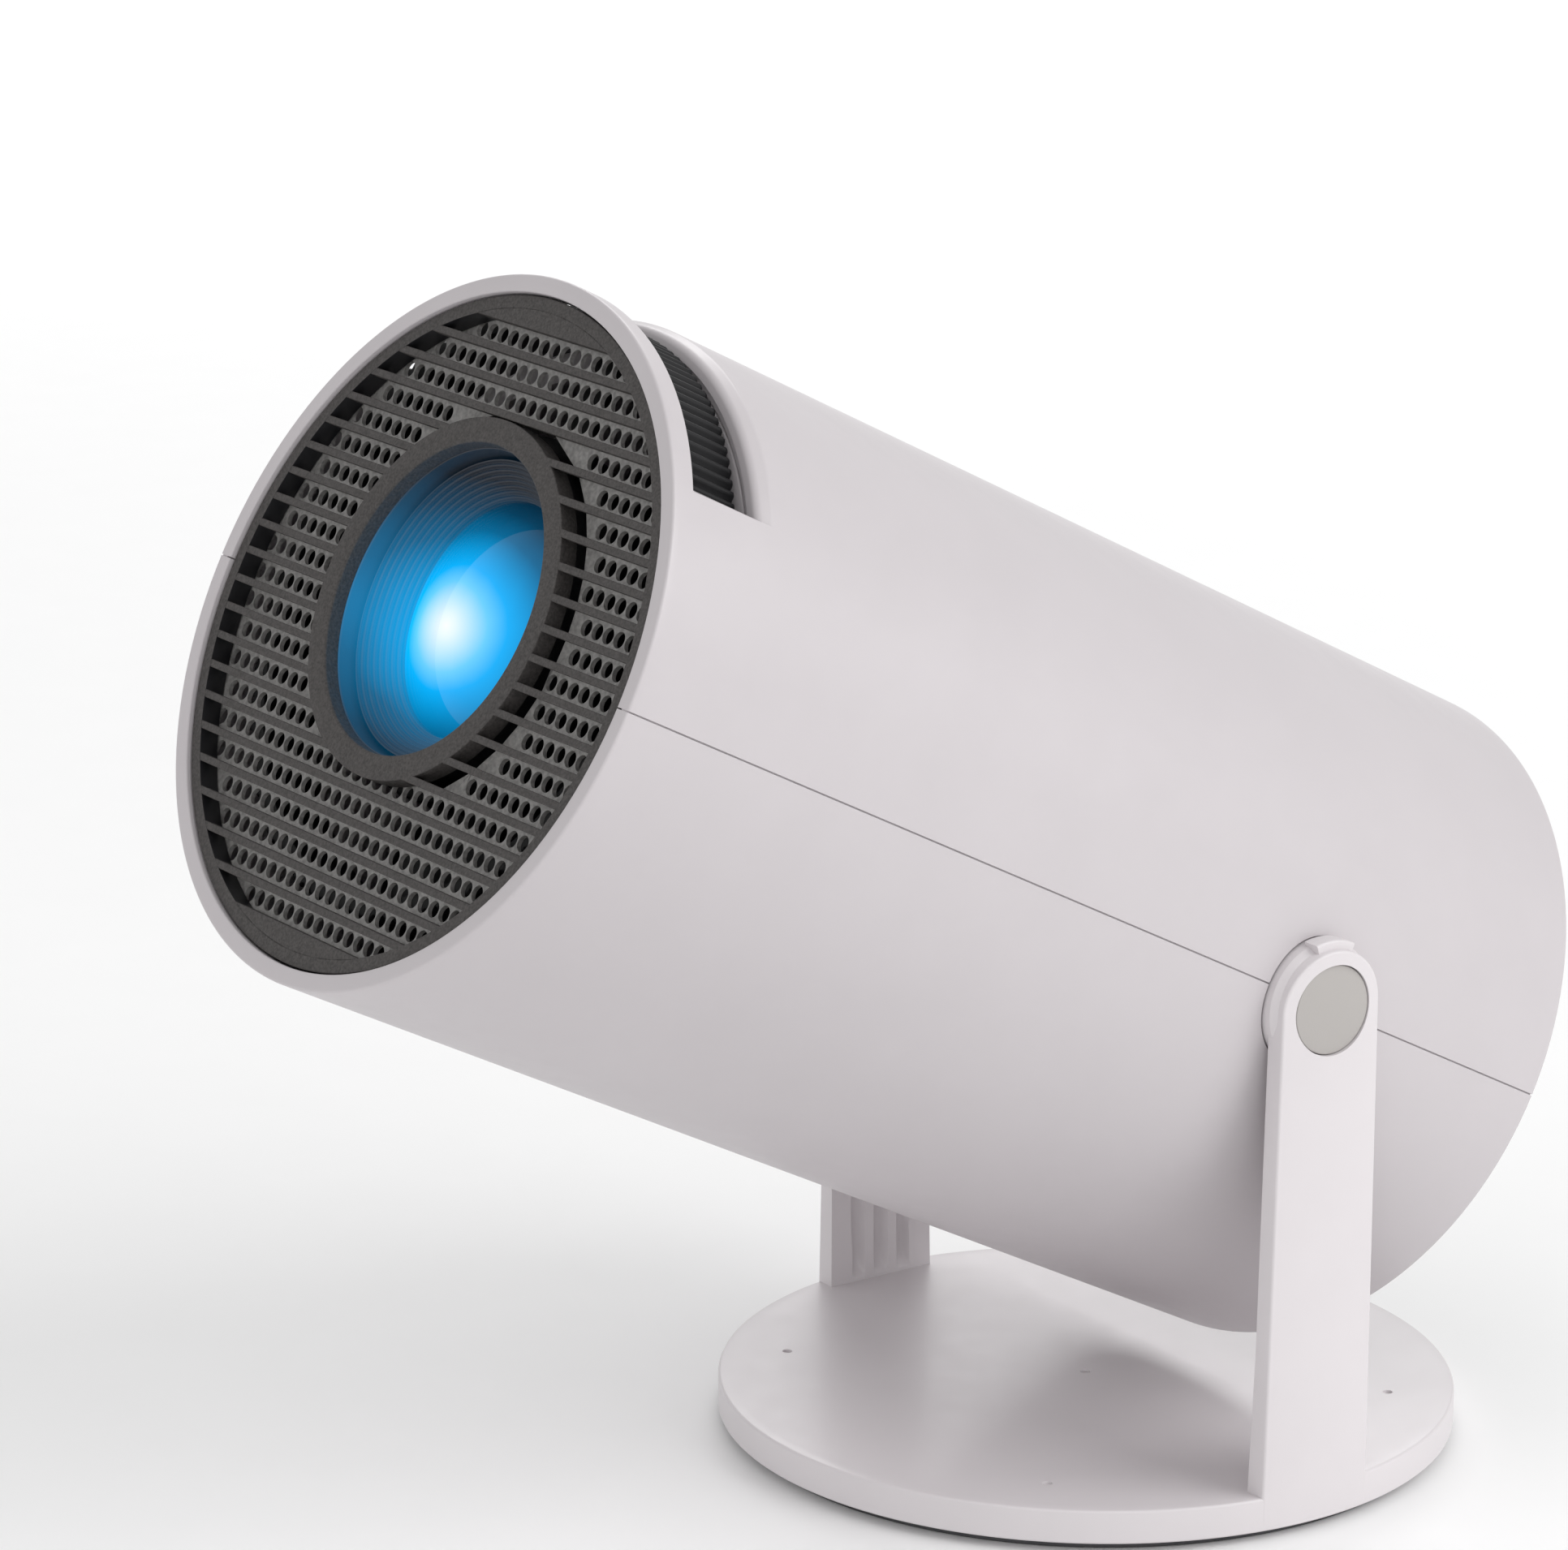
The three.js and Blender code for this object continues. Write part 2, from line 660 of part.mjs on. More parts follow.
function buildBoards(group) {
  const main = block([-27, depth(100), MAIN_TOP - 1.6], [27, depth(174), MAIN_TOP]);
  const chips = [
    block([-9, depth(112), MAIN_TOP - 0.2], [9, depth(130), MAIN_TOP + 1.4]),
    block([14, depth(118), MAIN_TOP - 0.2], [22, depth(128), MAIN_TOP + 1.2]),
    block([-22, depth(140), MAIN_TOP - 0.2], [-14, depth(152), MAIN_TOP + 1.2]),
  ];
  node(group, "main_board", join(main, ...chips), "board");
  const power = block([-17, depth(96), -42], [17, depth(150), -40.4]);
  const coil = block([-9, depth(104), -40.6], [7, depth(122), -31.5]);
  const tank = block([-11, depth(128), -40.6], [3, depth(144), -33]);
  node(group, "power_board", join(power, coil, tank), "board");
  const basket = turned(
    [
      [0, 24],
      [9, 24],
      [13, 22],
      [13, 20.5],
      [13.6, 20.5],
      [13.6, 23],
      [9.6, 31],
      [8, 31],
      [8, 36],
      [0, 36],
    ].map(([radius, d]) => [radius, depth(d)]),
    { sides: SMALL, height: -33 },
  );
  node(group, "speaker", basket, "black");
}

// ---- Rear panel and its sockets ----
const REAR_FROM = 179.6;
const REAR_TO = 181.8;
const HDMI_X = -15;
const USB_X = 5;
const JACK_X = 21;
const PORT_Z = PORT_ROW + 3.1;
const INLET_X = -6;
const INLET_Z = -38.2;
const PIN_PITCH = 8.6;
const BUTTON_X = 19;
const BUTTON_Z = INLET_Z + 1.2;
const REMOTE_Z = -16; // the remote control's window

// A block across the rear panel, centred on [x, z].
function portBlock(x, z, width, height, from, to) {
  return block([x - width / 2, depth(from), z - height / 2], [x + width / 2, depth(to), z + height / 2]);
}

// A hollow metal or plastic socket that opens to the rear, with a tongue in it.
function socket(x, z, width, height, wall, tongue) {
  const body = portBlock(x, z, width, height, 166, REAR_TO);
  const mouth = portBlock(x, z, width - 2 * wall, height - 2 * wall, 168, REAR_TO + 2);
  return body.subtract(mouth).add(portBlock(x, z + tongue[2], tongue[0], tongue[1], 167, REAR_TO - 1.5));
}

function buildRear(group) {
  const openings = [
    portBlock(HDMI_X, PORT_Z, 15.6, 6.4, 170, 190),
    portBlock(USB_X, PORT_Z, 14.2, 6.8, 170, 190),
    ringAlongY(0, 3.5, depth(170), depth(190), { sides: SMALL }).translate([JACK_X, 0, PORT_Z]),
    portBlock(INLET_X, INLET_Z, 19.6, 9.6, 170, 190),
    ringAlongY(0, 4.5, depth(170), depth(190), { sides: SMALL }).translate([BUTTON_X, 0, BUTTON_Z]),
    ringAlongY(0, 2.7, depth(170), depth(190), { sides: SMALL }).translate([0, 0, REMOTE_Z]),
  ];
  const rows = Array.from({ length: 11 }, (_, i) => -9 + 4.6 * i);
  const vents = slots({ height: 2.8, rows, reach: 41.5, from: depth(178), to: depth(184) });
  const spine = block([-1.2, depth(177), -12], [1.2, depth(185), 46]);
  const disc = ringAlongY(0, PANEL_R, depth(REAR_FROM), depth(REAR_TO));
  const screwHoles = rodsAtPanelScrews(PILOT_R, 178, 190, 12);
  const countersinks = rodsAtPanelScrews(2.7, 180.4, 190, 16);
  const cuts = join(vents.subtract(spine), ...openings, ...screwHoles, ...countersinks);
  node(group, "rear_panel", disc.subtract(cuts), "charcoal");
  PANEL_SCREWS.forEach(([x, z], i) => {
    const screw = turned(
      [
        [0, 168.5],
        [THREAD_R, 168.5],
        [THREAD_R, 180.7],
        [2.4, 180.7],
        [2.4, 181.5],
        [1.8, 182],
        [0, 182],
      ].map(([radius, d]) => [radius, depth(d)]),
      { sides: 12 },
    );
    node(group, `panel_screw_${i + 1}`, screw.translate([x, 0, z]), "steel");
  });

  node(group, "hdmi_socket", socket(HDMI_X, PORT_Z, 15, 5.8, 0.5, [11, 1.3, 0.4]), "steel");
  node(group, "usb_socket", socket(USB_X, PORT_Z, 13.6, 6.2, 0.5, [11, 1.8, 1]), "steel");
  const jackRing = ringAlongY(1.8, 3.2, depth(170), depth(REAR_TO + 0.4), { sides: SMALL });
  const jackEnd = portBlock(0, 0, 7, 6, 166, 170.4);
  node(group, "audio_jack", join(jackRing, jackEnd).translate([JACK_X, 0, PORT_Z]), "black");

  const inletBody = portBlock(INLET_X, INLET_Z, 19, 9, 163, REAR_TO + 0.4);
  const inletMouth = portBlock(INLET_X, INLET_Z, 16.2, 6.6, 170, REAR_TO + 3);
  const pin = ringAlongY(0, 1.2, depth(165), depth(REAR_TO - 1), { sides: 12 });
  const pins = SIDES.map(([, side]) => pin.translate([INLET_X + (side * PIN_PITCH) / 2, 0, INLET_Z]));
  node(group, "mains_inlet", join(inletBody.subtract(inletMouth), ...pins), "black");

  const button = turned(
    [
      [0, 174],
      [2, 174],
      [2, 177.2],
      [4.1, 177.2],
      [4.1, 182.3],
      [3.8, 182.7],
      [0, 182.7],
    ].map(([radius, d]) => [radius, depth(d)]),
    { sides: SMALL },
  );
  node(group, "power_button", button.translate([BUTTON_X, 0, BUTTON_Z]), "black");
  const keySwitch = portBlock(BUTTON_X, BUTTON_Z, 6, 6, 167.5, 172.8);
  node(group, "power_switch", keySwitch, "black");
  const irWindow = ringAlongY(0, 2.4, depth(178), depth(REAR_TO), { sides: SMALL });
  node(group, "remote_window", irWindow.translate([0, 0, REMOTE_Z]), "black");
}

// ---- Assembly ----
const projector = new THREE.Group();
const stand = new THREE.Group();
const head = new THREE.Group();
head.position.set(0, HINGE_Y, HINGE_Z);
head.rotation.x = -TILT;
projector.add(stand, head);

buildStand(stand);
buildShells(head);
buildFront(head);
buildFocus(head);
buildEngine(head);
buildFan(head);
buildBoards(head);
buildRear(head);

export default projector;
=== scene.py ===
"""Fine surfaces and finishes for a cylinder-shaped home projector on a tilting table stand."""
import json
import math

import bmesh
import bpy
import numpy as np
from mathutils import Matrix, Vector


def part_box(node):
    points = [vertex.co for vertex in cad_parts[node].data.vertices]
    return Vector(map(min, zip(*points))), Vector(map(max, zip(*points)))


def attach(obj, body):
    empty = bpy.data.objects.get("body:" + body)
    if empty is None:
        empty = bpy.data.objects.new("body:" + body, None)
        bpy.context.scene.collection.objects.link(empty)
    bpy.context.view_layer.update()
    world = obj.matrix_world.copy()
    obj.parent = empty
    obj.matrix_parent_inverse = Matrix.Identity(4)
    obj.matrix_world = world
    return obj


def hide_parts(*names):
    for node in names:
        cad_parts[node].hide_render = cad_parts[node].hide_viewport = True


bl_info = {
    "name": "Home projector",
    "version": (1, 0, 0),
    "blender": (4, 5, 0),
    "location": "View3D > Sidebar > Projector",
    "description": "Visible surfaces and finishes of a tilting home projector around its packed model",
    "category": "Add Mesh",
}

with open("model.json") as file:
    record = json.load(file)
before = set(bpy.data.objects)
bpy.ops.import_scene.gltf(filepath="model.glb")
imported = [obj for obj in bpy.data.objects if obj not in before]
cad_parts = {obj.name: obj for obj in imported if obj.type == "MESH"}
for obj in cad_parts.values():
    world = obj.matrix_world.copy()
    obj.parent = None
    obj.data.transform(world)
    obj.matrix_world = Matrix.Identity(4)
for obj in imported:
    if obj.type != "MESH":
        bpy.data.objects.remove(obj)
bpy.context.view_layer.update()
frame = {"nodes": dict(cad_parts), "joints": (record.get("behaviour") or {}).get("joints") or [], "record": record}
JOINTS = {joint["name"]: joint for joint in frame["joints"]}

MM = 0.001
TILT = math.radians(-JOINTS["tilt"]["range_deg"][0])  # the head points this far above level at rest
HINGE = np.array(JOINTS["tilt"]["pos_m"])
EPSILON = 1e-9


# ---- The head's own coordinates: X right, Y to the rear from the tilt axis, Z square to the tube ----
def head_to_row(points):
    """Turns head coordinates back by the tilt about the hinge line, and moves them to the hinge."""
    c, s = math.cos(TILT), math.sin(TILT)
    x, y, z = points[..., 0], points[..., 1], points[..., 2]
    return np.stack([x, y * c + z * s, z * c - y * s], axis=-1) + HINGE


def row_to_head(points):
    """Head coordinates of points in the row: the move and the turn of head_to_row undone."""
    c, s = math.cos(TILT), math.sin(TILT)
    x, y, z = (points - HINGE).T
    return np.stack([x, y * c - z * s, y * s + z * c], axis=-1)


def read_points(items, attribute):
    """That attribute of a mesh's vertices or faces, as rows of x, y and z."""
    values = np.empty(len(items) * 3, np.float32)
    items.foreach_get(attribute, values)
    return values.reshape(-1, 3)


def head_box(node):
    """Lowest and highest corners of a CAD node in the head's own coordinates."""
    local = row_to_head(read_points(frame["nodes"][node].data.vertices, "co"))
    return local.min(axis=0), local.max(axis=0)


UPPER_LOW, UPPER_HIGH = head_box("upper_shell")
WHEEL_LOW, WHEEL_HIGH = head_box("focus_wheel")
GRILLE_LOW, GRILLE_HIGH = head_box("front_grille")
MESH_LOW, MESH_HIGH = head_box("mesh_plate")
FRONT_Y = float(UPPER_LOW[1])  # the front plane
TUBE_LENGTH = float(UPPER_HIGH[1] - UPPER_LOW[1])
TUBE_R = float(UPPER_HIGH[0])
WHEEL_R = float(WHEEL_HIGH[0])
LENS_Z = float(WHEEL_HIGH[2]) - WHEEL_R
PANEL_R = float(GRILLE_HIGH[0])
HINGE_DEPTH = -FRONT_Y

DISC_LOW, DISC_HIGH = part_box("stand_frame")
_, PAD_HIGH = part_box("foot_pad")
CAP_LOW, CAP_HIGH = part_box("pivot_cap_right")
BASE_R = DISC_HIGH.x
BASE_LOW = DISC_LOW.z
CAP_R = (CAP_HIGH.y - CAP_LOW.y) / 2


def length(name, text, millimetres):
    return bpy.props.FloatProperty(
        name=name, description=text, default=millimetres * MM, unit="LENGTH", subtype="DISTANCE", precision=5
    )


def tint(name, text, value):
    return bpy.props.FloatVectorProperty(
        name=name, description=text, default=value, subtype="COLOR", size=3, min=0.0, max=1.0
    )


class ProjectorSizes(bpy.types.PropertyGroup):
    """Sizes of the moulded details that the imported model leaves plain."""

    wall: length("Tube wall", "Thickness of the two shells", 2.6)
    rim_round: length("Rim rounding", "Radius of the tube's front and rear rims", 0.4)
    seam_gap: length("Seam gap", "Width of the line between the two shells", 0.2)
    seam_round: length("Seam rounding", "Radius along the seam between the shells", 0.08)
    window_front: length("Window front", "Depth of the focus window's front edge", 3.7)
    window_rear: length("Window rear", "Depth of the focus window's rear edge", 16.0)
    window_ramp: length("Window ramp", "Depth where the ramp behind the window reaches the tube", 18.2)
    window_drop: length("Ramp drop", "How far the ramp falls below the tube's surface", 0.9)
    ramp_round: length("Ramp rounding", "Radius of the ramp's front edge", 0.8)
    slot_pitch: length("Slot pitch", "Distance between the front grille's slots", 4.27)
    bar_height: length("Bar height", "Height of the bars between the slots", 1.1)
    ring_in: length("Lens ring inside", "Inner radius of the ring around the lens", 22.7)
    ring_out: length("Lens ring outside", "Outer radius of the ring around the lens", 26.4)
    hole_pitch: length("Hole pitch", "Distance between the perforated plate's holes", 2.6)
    hole_radius: length("Hole radius", "Radius of the perforated plate's holes", 1.18)
    arm_half_top: length("Arm half width", "Half of the arm's width at the pivot", 8.85)
    arm_half_foot: length("Arm half width at the foot", "Half of the arm's width at the disc", 9.75)
    arm_inside: length("Arm inside", "Distance from the middle to the arm's inner face", 52.4)
    base_top: length("Disc top", "Height of the base disc's top face", 6.8)
    window_angle: bpy.props.FloatProperty(
        name="Window angle", description="Angle from the seam to the window's end", default=math.radians(36),
        unit="ROTATION", subtype="ANGLE",
    )
    ribs: bpy.props.IntProperty(name="Wheel ribs", description="Ribs around the focus wheel", default=150)


class ProjectorColours(bpy.types.PropertyGroup):
    """Colours of the finishes."""

    body: tint("Body", "White moulded plastic", (0.56, 0.527, 0.543))
    # Lighter than the body's white plastic of the same moulding: the extra lightness is painted light on the disc
    # and arms
    stand: tint("Stand", "White moulded plastic of the disc and arms", (0.68, 0.645, 0.66))
    grille: tint("Grille", "Charcoal textured plastic", (0.052, 0.047, 0.045))
    plate: tint("Perforated plate", "Painted plate behind the grille", (0.36, 0.35, 0.34))
    black: tint("Black plastic", "Wheel, sockets and inner parts", (0.014, 0.014, 0.016))
    pad: tint("Foot pad", "Rubber under the disc", (0.07, 0.07, 0.074))
    cap: tint("Pivot cap", "Warm grey plastic", (0.42, 0.398, 0.382))
    # Colour of the painted glow that the lens glass and the baffle emit as light
    glow: tint("Lamp glow", "Light inside the lens", (0.0, 0.43, 0.95))
    floor: tint("Floor", "Pale studio floor", (0.93, 0.93, 0.93))


# ---- Meshes from arrays ----
def grid_quads(rows, columns, close_rows=False, close_columns=False):
    """Vertex numbers of the cells of a grid numbered row by row, as an array of rows x columns x 4."""
    i, j = np.meshgrid(
        np.arange(rows if close_rows else rows - 1),
        np.arange(columns if close_columns else columns - 1),
        indexing="ij",
    )
    i_next, j_next = (i + 1) % rows, (j + 1) % columns
    corners = [i * columns + j, i_next * columns + j, i_next * columns + j_next, i * columns + j_next]
    return np.stack(corners, axis=-1)


def sheet_pair(outer, inner, quads):
    """A solid between two sheets of like points: the cells of both, and a wall along each open edge.

    Points of the outer sheet that fall together are merged first. An edge is open where no neighbouring
    cell runs along it the other way.
    """
    keys = np.round(outer * 1e7 + 0.3).astype(np.int64)
    _, first, number = np.unique(keys, axis=0, return_index=True, return_inverse=True)
    outer, inner, quads = outer[first], inner[first], number.reshape(-1)[quads]
    count = len(outer)
    edges = np.concatenate([quads[:, [k, (k + 1) % 4]] for k in range(4)])
    forward = edges[:, 0] * count + edges[:, 1]
    backward = edges[:, 1] * count + edges[:, 0]
    free = edges[~np.isin(forward, backward)]
    walls = np.stack([free[:, 1], free[:, 0], free[:, 0] + count, free[:, 1] + count], axis=-1)
    return np.concatenate([outer, inner]), [np.concatenate([quads, quads[:, ::-1] + count, walls])]


def gather(x, y, z):
    """Points from arrays of x, y and z that are repeated to fit each other."""
    return np.stack(np.broadcast_arrays(x, y, z), axis=-1)


def swept(sections, closed=False):
    """A solid from like closed outlines set one after another: rows are outlines, columns their points.

    The first and last outlines are capped unless the run of outlines closes on itself.
    """
    rows, columns = sections.shape[:2]
    quads = grid_quads(rows, columns, close_rows=closed, close_columns=True).reshape(-1, 4)
    faces = [quads]
    if not closed:
        faces.append(np.arange(columns)[None, ::-1])
        faces.append((np.arange(columns) + (rows - 1) * columns)[None, :])
    return sections.reshape(-1, 3), faces


def outline(corners, steps=4):
    """A closed outline with rounded corners, from rows of (u, v, radius).

    Each corner becomes an arc that touches both of its sides, and a radius of 0 keeps it sharp.
    """
    points = np.array([corner[:2] for corner in corners], float)
    pieces = []
    for i, (_, _, radius) in enumerate(corners):
        here = points[i]
        if radius <= 0:
            pieces.append(here[None])
            continue
        before, after = points[i - 1] - here, points[(i + 1) % len(points)] - here
        before, after = before / np.linalg.norm(before), after / np.linalg.norm(after)
        half = math.acos(np.clip(before @ after, -1, 1)) / 2
        centre = here + (before + after) / np.linalg.norm(before + after) * radius / math.sin(half)
        start, end = here + before * radius / math.tan(half), here + after * radius / math.tan(half)
        share = np.linspace(0, 1, steps + 1)[:, None]
        chord = (start - centre) * (1 - share) + (end - centre) * share
        pieces.append(centre + chord / np.linalg.norm(chord, axis=1)[:, None] * radius)
    return np.concatenate(pieces)


def outline_mm(corners, steps=4):
    """The same outline from rows in millimetres."""
    return outline(np.array(corners) * MM, steps)


def head_solid(x, depth, z, closed=False):
    """A swept solid in the head, from like arrays of x, depth behind the front plane, and height."""
    points, faces = swept(gather(x, depth + FRONT_Y, z), closed)
    return head_to_row(points), faces


def turn_angles(sides, start=0.0, sweep=2 * math.pi):
    """A column of angles, and whether they go all the way round, which leaves out the last one."""
    whole = sweep >= 2 * math.pi - EPSILON
    return np.linspace(start, start + sweep, sides, endpoint=not whole)[:, None], whole


def turned(shape, sides=160, height=0.0, start=0.0, sweep=2 * math.pi):
    """An outline of (radius, depth) turned about a line along Y at that height in the head's coordinates."""
    angle, whole = turn_angles(sides, start, sweep)
    radius, depth = shape[:, 0], shape[:, 1]
    return head_solid(radius * np.cos(angle), depth, radius * np.sin(angle) + height, whole)


def turned_upright(shape, sides=192):
    """An outline of (radius, z) turned about the upright line through the row's origin."""
    angle, whole = turn_angles(sides)
    radius, z = shape[:, 0], shape[:, 1]
    return swept(gather(radius * np.cos(angle), radius * np.sin(angle), z), whole)


def turned_across(shape, side, sides=96, start=0.0, sweep=2 * math.pi):
    """An outline of (radius, x) turned about the tilt axis, on the right (side 1) or the left (side -1)."""
    angle, whole = turn_angles(sides, start, sweep)
    radius, x = shape[:, 0], shape[:, 1]
    y, z = radius * np.cos(angle) + HINGE[1], radius * np.sin(angle) + HINGE[2]
    return swept(gather(side * x, y, z), whole)


def make_piece(name, solids, finish, body, replaced=(), crease=32.0):
    """One mesh object from (points, faces) solids, merged, facing outwards, smooth up to the crease."""
    points = np.concatenate([solid[0] for solid in solids])
    starts = np.cumsum([0] + [len(solid[0]) for solid in solids])
    faces = [
        face
        for start, (_, groups) in zip(starts, solids)
        for group in groups
        for face in (group + start).tolist()
    ]
    mesh = bpy.data.meshes.new(name)
    mesh.from_pydata(points.tolist(), [], faces)
    work = bmesh.new()
    work.from_mesh(mesh)
    bmesh.ops.remove_doubles(work, verts=work.verts, dist=2e-7)
    loose = [vertex for vertex in work.verts if not vertex.link_faces]
    bmesh.ops.delete(work, geom=loose, context="VERTS")
    bmesh.ops.recalc_face_normals(work, faces=work.faces)
    work.to_mesh(mesh)
    work.free()
    return finish_piece(mesh, name, finish, body, replaced, crease)


def finish_piece(mesh, name, finish, body, replaced, crease):
    """Links the mesh as an object of that name, shades it, and ties it to its body and its CAD nodes."""
    mesh.polygons.foreach_set("use_smooth", np.ones(len(mesh.polygons), bool))
    mesh.set_sharp_from_angle(angle=math.radians(crease))
    mesh.materials.clear()
    mesh.materials.append(finish)
    piece = bpy.data.objects.new(name, mesh)
    bpy.context.scene.collection.objects.link(piece)
    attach(piece, body)
    if replaced:
        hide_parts(*replaced)
    return piece


def paint(piece, finish, where):
    """Gives a second finish to the faces whose middles the test picks, by their place in the head."""
    mesh = piece.data
    x, y, z = row_to_head(read_points(mesh.polygons, "center")).T
    chosen = where(x, y - FRONT_Y, z)
    mesh.materials.append(finish)
    mesh.polygons.foreach_set("material_index", chosen.astype(np.int32))


def softened_copy(node, name, finish, body, width, crease=30.0):
    """A merged copy of a CAD node with its edges bevelled to that width."""
    work = bmesh.new()
    work.from_mesh(frame["nodes"][node].data)
    bmesh.ops.remove_doubles(work, verts=work.verts, dist=1e-6)
    bmesh.ops.dissolve_limit(work, angle_limit=math.radians(1.0), verts=work.verts, edges=work.edges)
    bmesh.ops.recalc_face_normals(work, faces=work.faces)
    mesh = bpy.data.meshes.new(name)
    work.to_mesh(mesh)
    work.free()
    piece = finish_piece(mesh, name, finish, body, [node], crease)
    bevel = piece.modifiers.new("edges", "BEVEL")
    bevel.width = width
    bevel.segments = 2
    bevel.limit_method = "ANGLE"
    bevel.angle_limit = math.radians(crease)
    bevel.harden_normals = True
    return piece


# ---- Finishes ----
NOISE_SPAN = (0.3, 0.7)  # most of a noise texture's values lie between these
MICRON = 1e-6


class Finish:
    """A node material with a Principled shader and a few helpers to add detail in Object coordinates."""

    def __init__(self, name, colour, roughness, metallic=0.0, **sockets):
        self.material = bpy.data.materials.new(name)
        self.material.use_nodes = True
        self.nodes = self.material.node_tree.nodes
        self.shader = self.nodes["Principled BSDF"]
        self.place = self.nodes.new("ShaderNodeTexCoord").outputs["Object"]
        self.colour = (*colour, 1.0)
        self.set(self.shader, Base_Color=self.colour, Roughness=roughness, Metallic=metallic, **sockets)

    def feed(self, socket, value):
        """Links an output to the input, or sets the input's own value."""
        if isinstance(value, bpy.types.NodeSocket):
            self.material.node_tree.links.new(value, socket)
        else:
            socket.default_value = value

    def set(self, node, **values):
        """Feeds inputs by their names, written with an underscore for each space."""
        for label, value in values.items():
            self.feed(node.inputs[label.replace("_", " ")], value)
        return node

    def add(self, kind, **values):
        return self.set(self.nodes.new(f"ShaderNode{kind}"), **values)

    def calculate(self, kind, operation, *values):
        """The result of a math node, which takes its values in order."""
        node = self.nodes.new(f"ShaderNode{kind}")
        node.operation = operation
        for socket, value in zip(node.inputs, values):
            self.feed(socket, value)
        return node.outputs["Value"]

    def noise(self, scale, detail=2.0, stretch=(1.0, 1.0, 1.0)):
        """Noise of that many features per metre, stretched where a finish has a direction."""
        mapping = self.add("Mapping", Vector=self.place, Scale=stretch)
        place = mapping.outputs["Vector"]
        return self.add("TexNoise", Vector=place, Scale=scale, Detail=detail).outputs["Fac"]

    def ramp(self, factor, stops):
        """The colour that the factor picks between stops of (position, colour)."""
        node = self.add("ValToRGB", Fac=factor)
        elements = node.color_ramp.elements
        elements[0].position, elements[-1].position = stops[0][0], stops[-1][0]
        elements[0].color, elements[-1].color = (*stops[0][1], 1.0), (*stops[-1][1], 1.0)
        for position, colour in stops[1:-1]:
            elements.new(position).color = (*colour, 1.0)
        return node.outputs["Color"]

    def mottle(self, factor, amount):
        """Lets the colour drift to both sides of its own value by that share, following the factor."""
        low = [channel * (1 - amount) for channel in self.colour[:3]]
        high = [min(1.0, channel * (1 + amount)) for channel in self.colour[:3]]
        self.set(self.shader, Base_Color=self.ramp(factor, ((NOISE_SPAN[0], low), (NOISE_SPAN[1], high))))

    def vary_roughness(self, factor, low, high):
        """Lets the roughness run from low to high with the factor."""
        span = {"From_Min": NOISE_SPAN[0], "From_Max": NOISE_SPAN[1], "To_Min": low, "To_Max": high}
        self.set(self.shader, Roughness=self.add("MapRange", Value=factor, **span).outputs["Result"])

    def bump(self, factor, strength, distance):
        """Raises the surface by up to that distance, in micrometres, where the factor is 1."""
        relief = self.add("Bump", Height=factor, Strength=strength, Distance=distance * MICRON)
        self.set(self.shader, Normal=relief.outputs["Normal"])


def moulded(name, colour, roughness, grain, depth, mottling=0.03, spread=0.05, **sockets):
    """Moulded plastic or rubber: a fine grain in the surface and a slow drift of colour and gloss."""
    finish = Finish(name, colour, roughness, **sockets)
    finish.mottle(finish.noise(60.0, 3.0), mottling)
    finish.vary_roughness(finish.noise(240.0, 2.0), roughness - spread, roughness + spread)
    finish.bump(finish.noise(grain, 2.0), 0.5, depth)
    return finish.material


def etched(name, colour, roughness, grain, depth, painted_glint, spread=0.08):
    """Spark-etched plastic: a coarse grain whose colour is lighter on its raised tops and darker in its pits, a
    painted highlight and shade.
    """
    finish = Finish(name, colour, roughness)
    cells = finish.noise(grain, 1.5)
    # The colour follows the same cells as the bump: painted highlight on the raised tops, painted shade in the
    # pits
    finish.mottle(cells, painted_glint)
    finish.vary_roughness(finish.noise(grain * 0.4), roughness - spread, roughness + spread)
    finish.bump(cells, 0.8, depth)
    return finish.material


def metal(name, colour, roughness, stretch, scale=900.0, mottling=0.08):
    """Drawn, rolled or plated metal: streaks along one direction."""
    finish = Finish(name, colour, roughness, metallic=1.0)
    streaks = finish.noise(scale, 3.0, stretch)
    finish.mottle(streaks, mottling)
    finish.vary_roughness(finish.noise(scale, 2.0, stretch), roughness - 0.07, roughness + 0.1)
    finish.bump(streaks, 0.3, 20)
    return finish.material


def circuit_board(name, colour):
    """Solder mask over copper: square-cornered tracks a little lighter than the board."""
    finish = Finish(name, colour, 0.35, Coat_Weight=0.3)
    darker = tuple(channel * 0.75 for channel in colour) + (1.0,)
    tracks = finish.add("TexBrick", Vector=finish.place, Scale=160.0, Mortar_Size=0.04, Color1=finish.colour,
                        Color2=darker, Mortar=(0.05, 0.3, 0.12, 1.0))
    finish.set(finish.shader, Base_Color=tracks.outputs["Color"])
    finish.bump(tracks.outputs["Fac"], 0.4, 40)
    return finish.material


# The painted glow's reach across, along and up the lens, and its core: x, depth and z in the head, in metres.
PAINTED_GLOW_REACH = (0.033, 0.072, 0.023)
PAINTED_GLOW_CORE = (-0.003, 0.0067, 0.0022)
PAINTED_GLOW_WHITES = (
    (0.0, (1.0, 1.0, 1.0)), (0.1, (0.78, 0.93, 0.98)), (0.2, (0.46, 0.79, 1.0)), (0.3, (0.14, 0.62, 1.0)),
)  # share of the reach, and the colour there
PAINTED_GLOW_FADE = ((0.41, 1.0), (0.51, 0.72), (0.65, 0.3), (0.8, 0.1), (0.95, 0.01))  # and the share of the glow


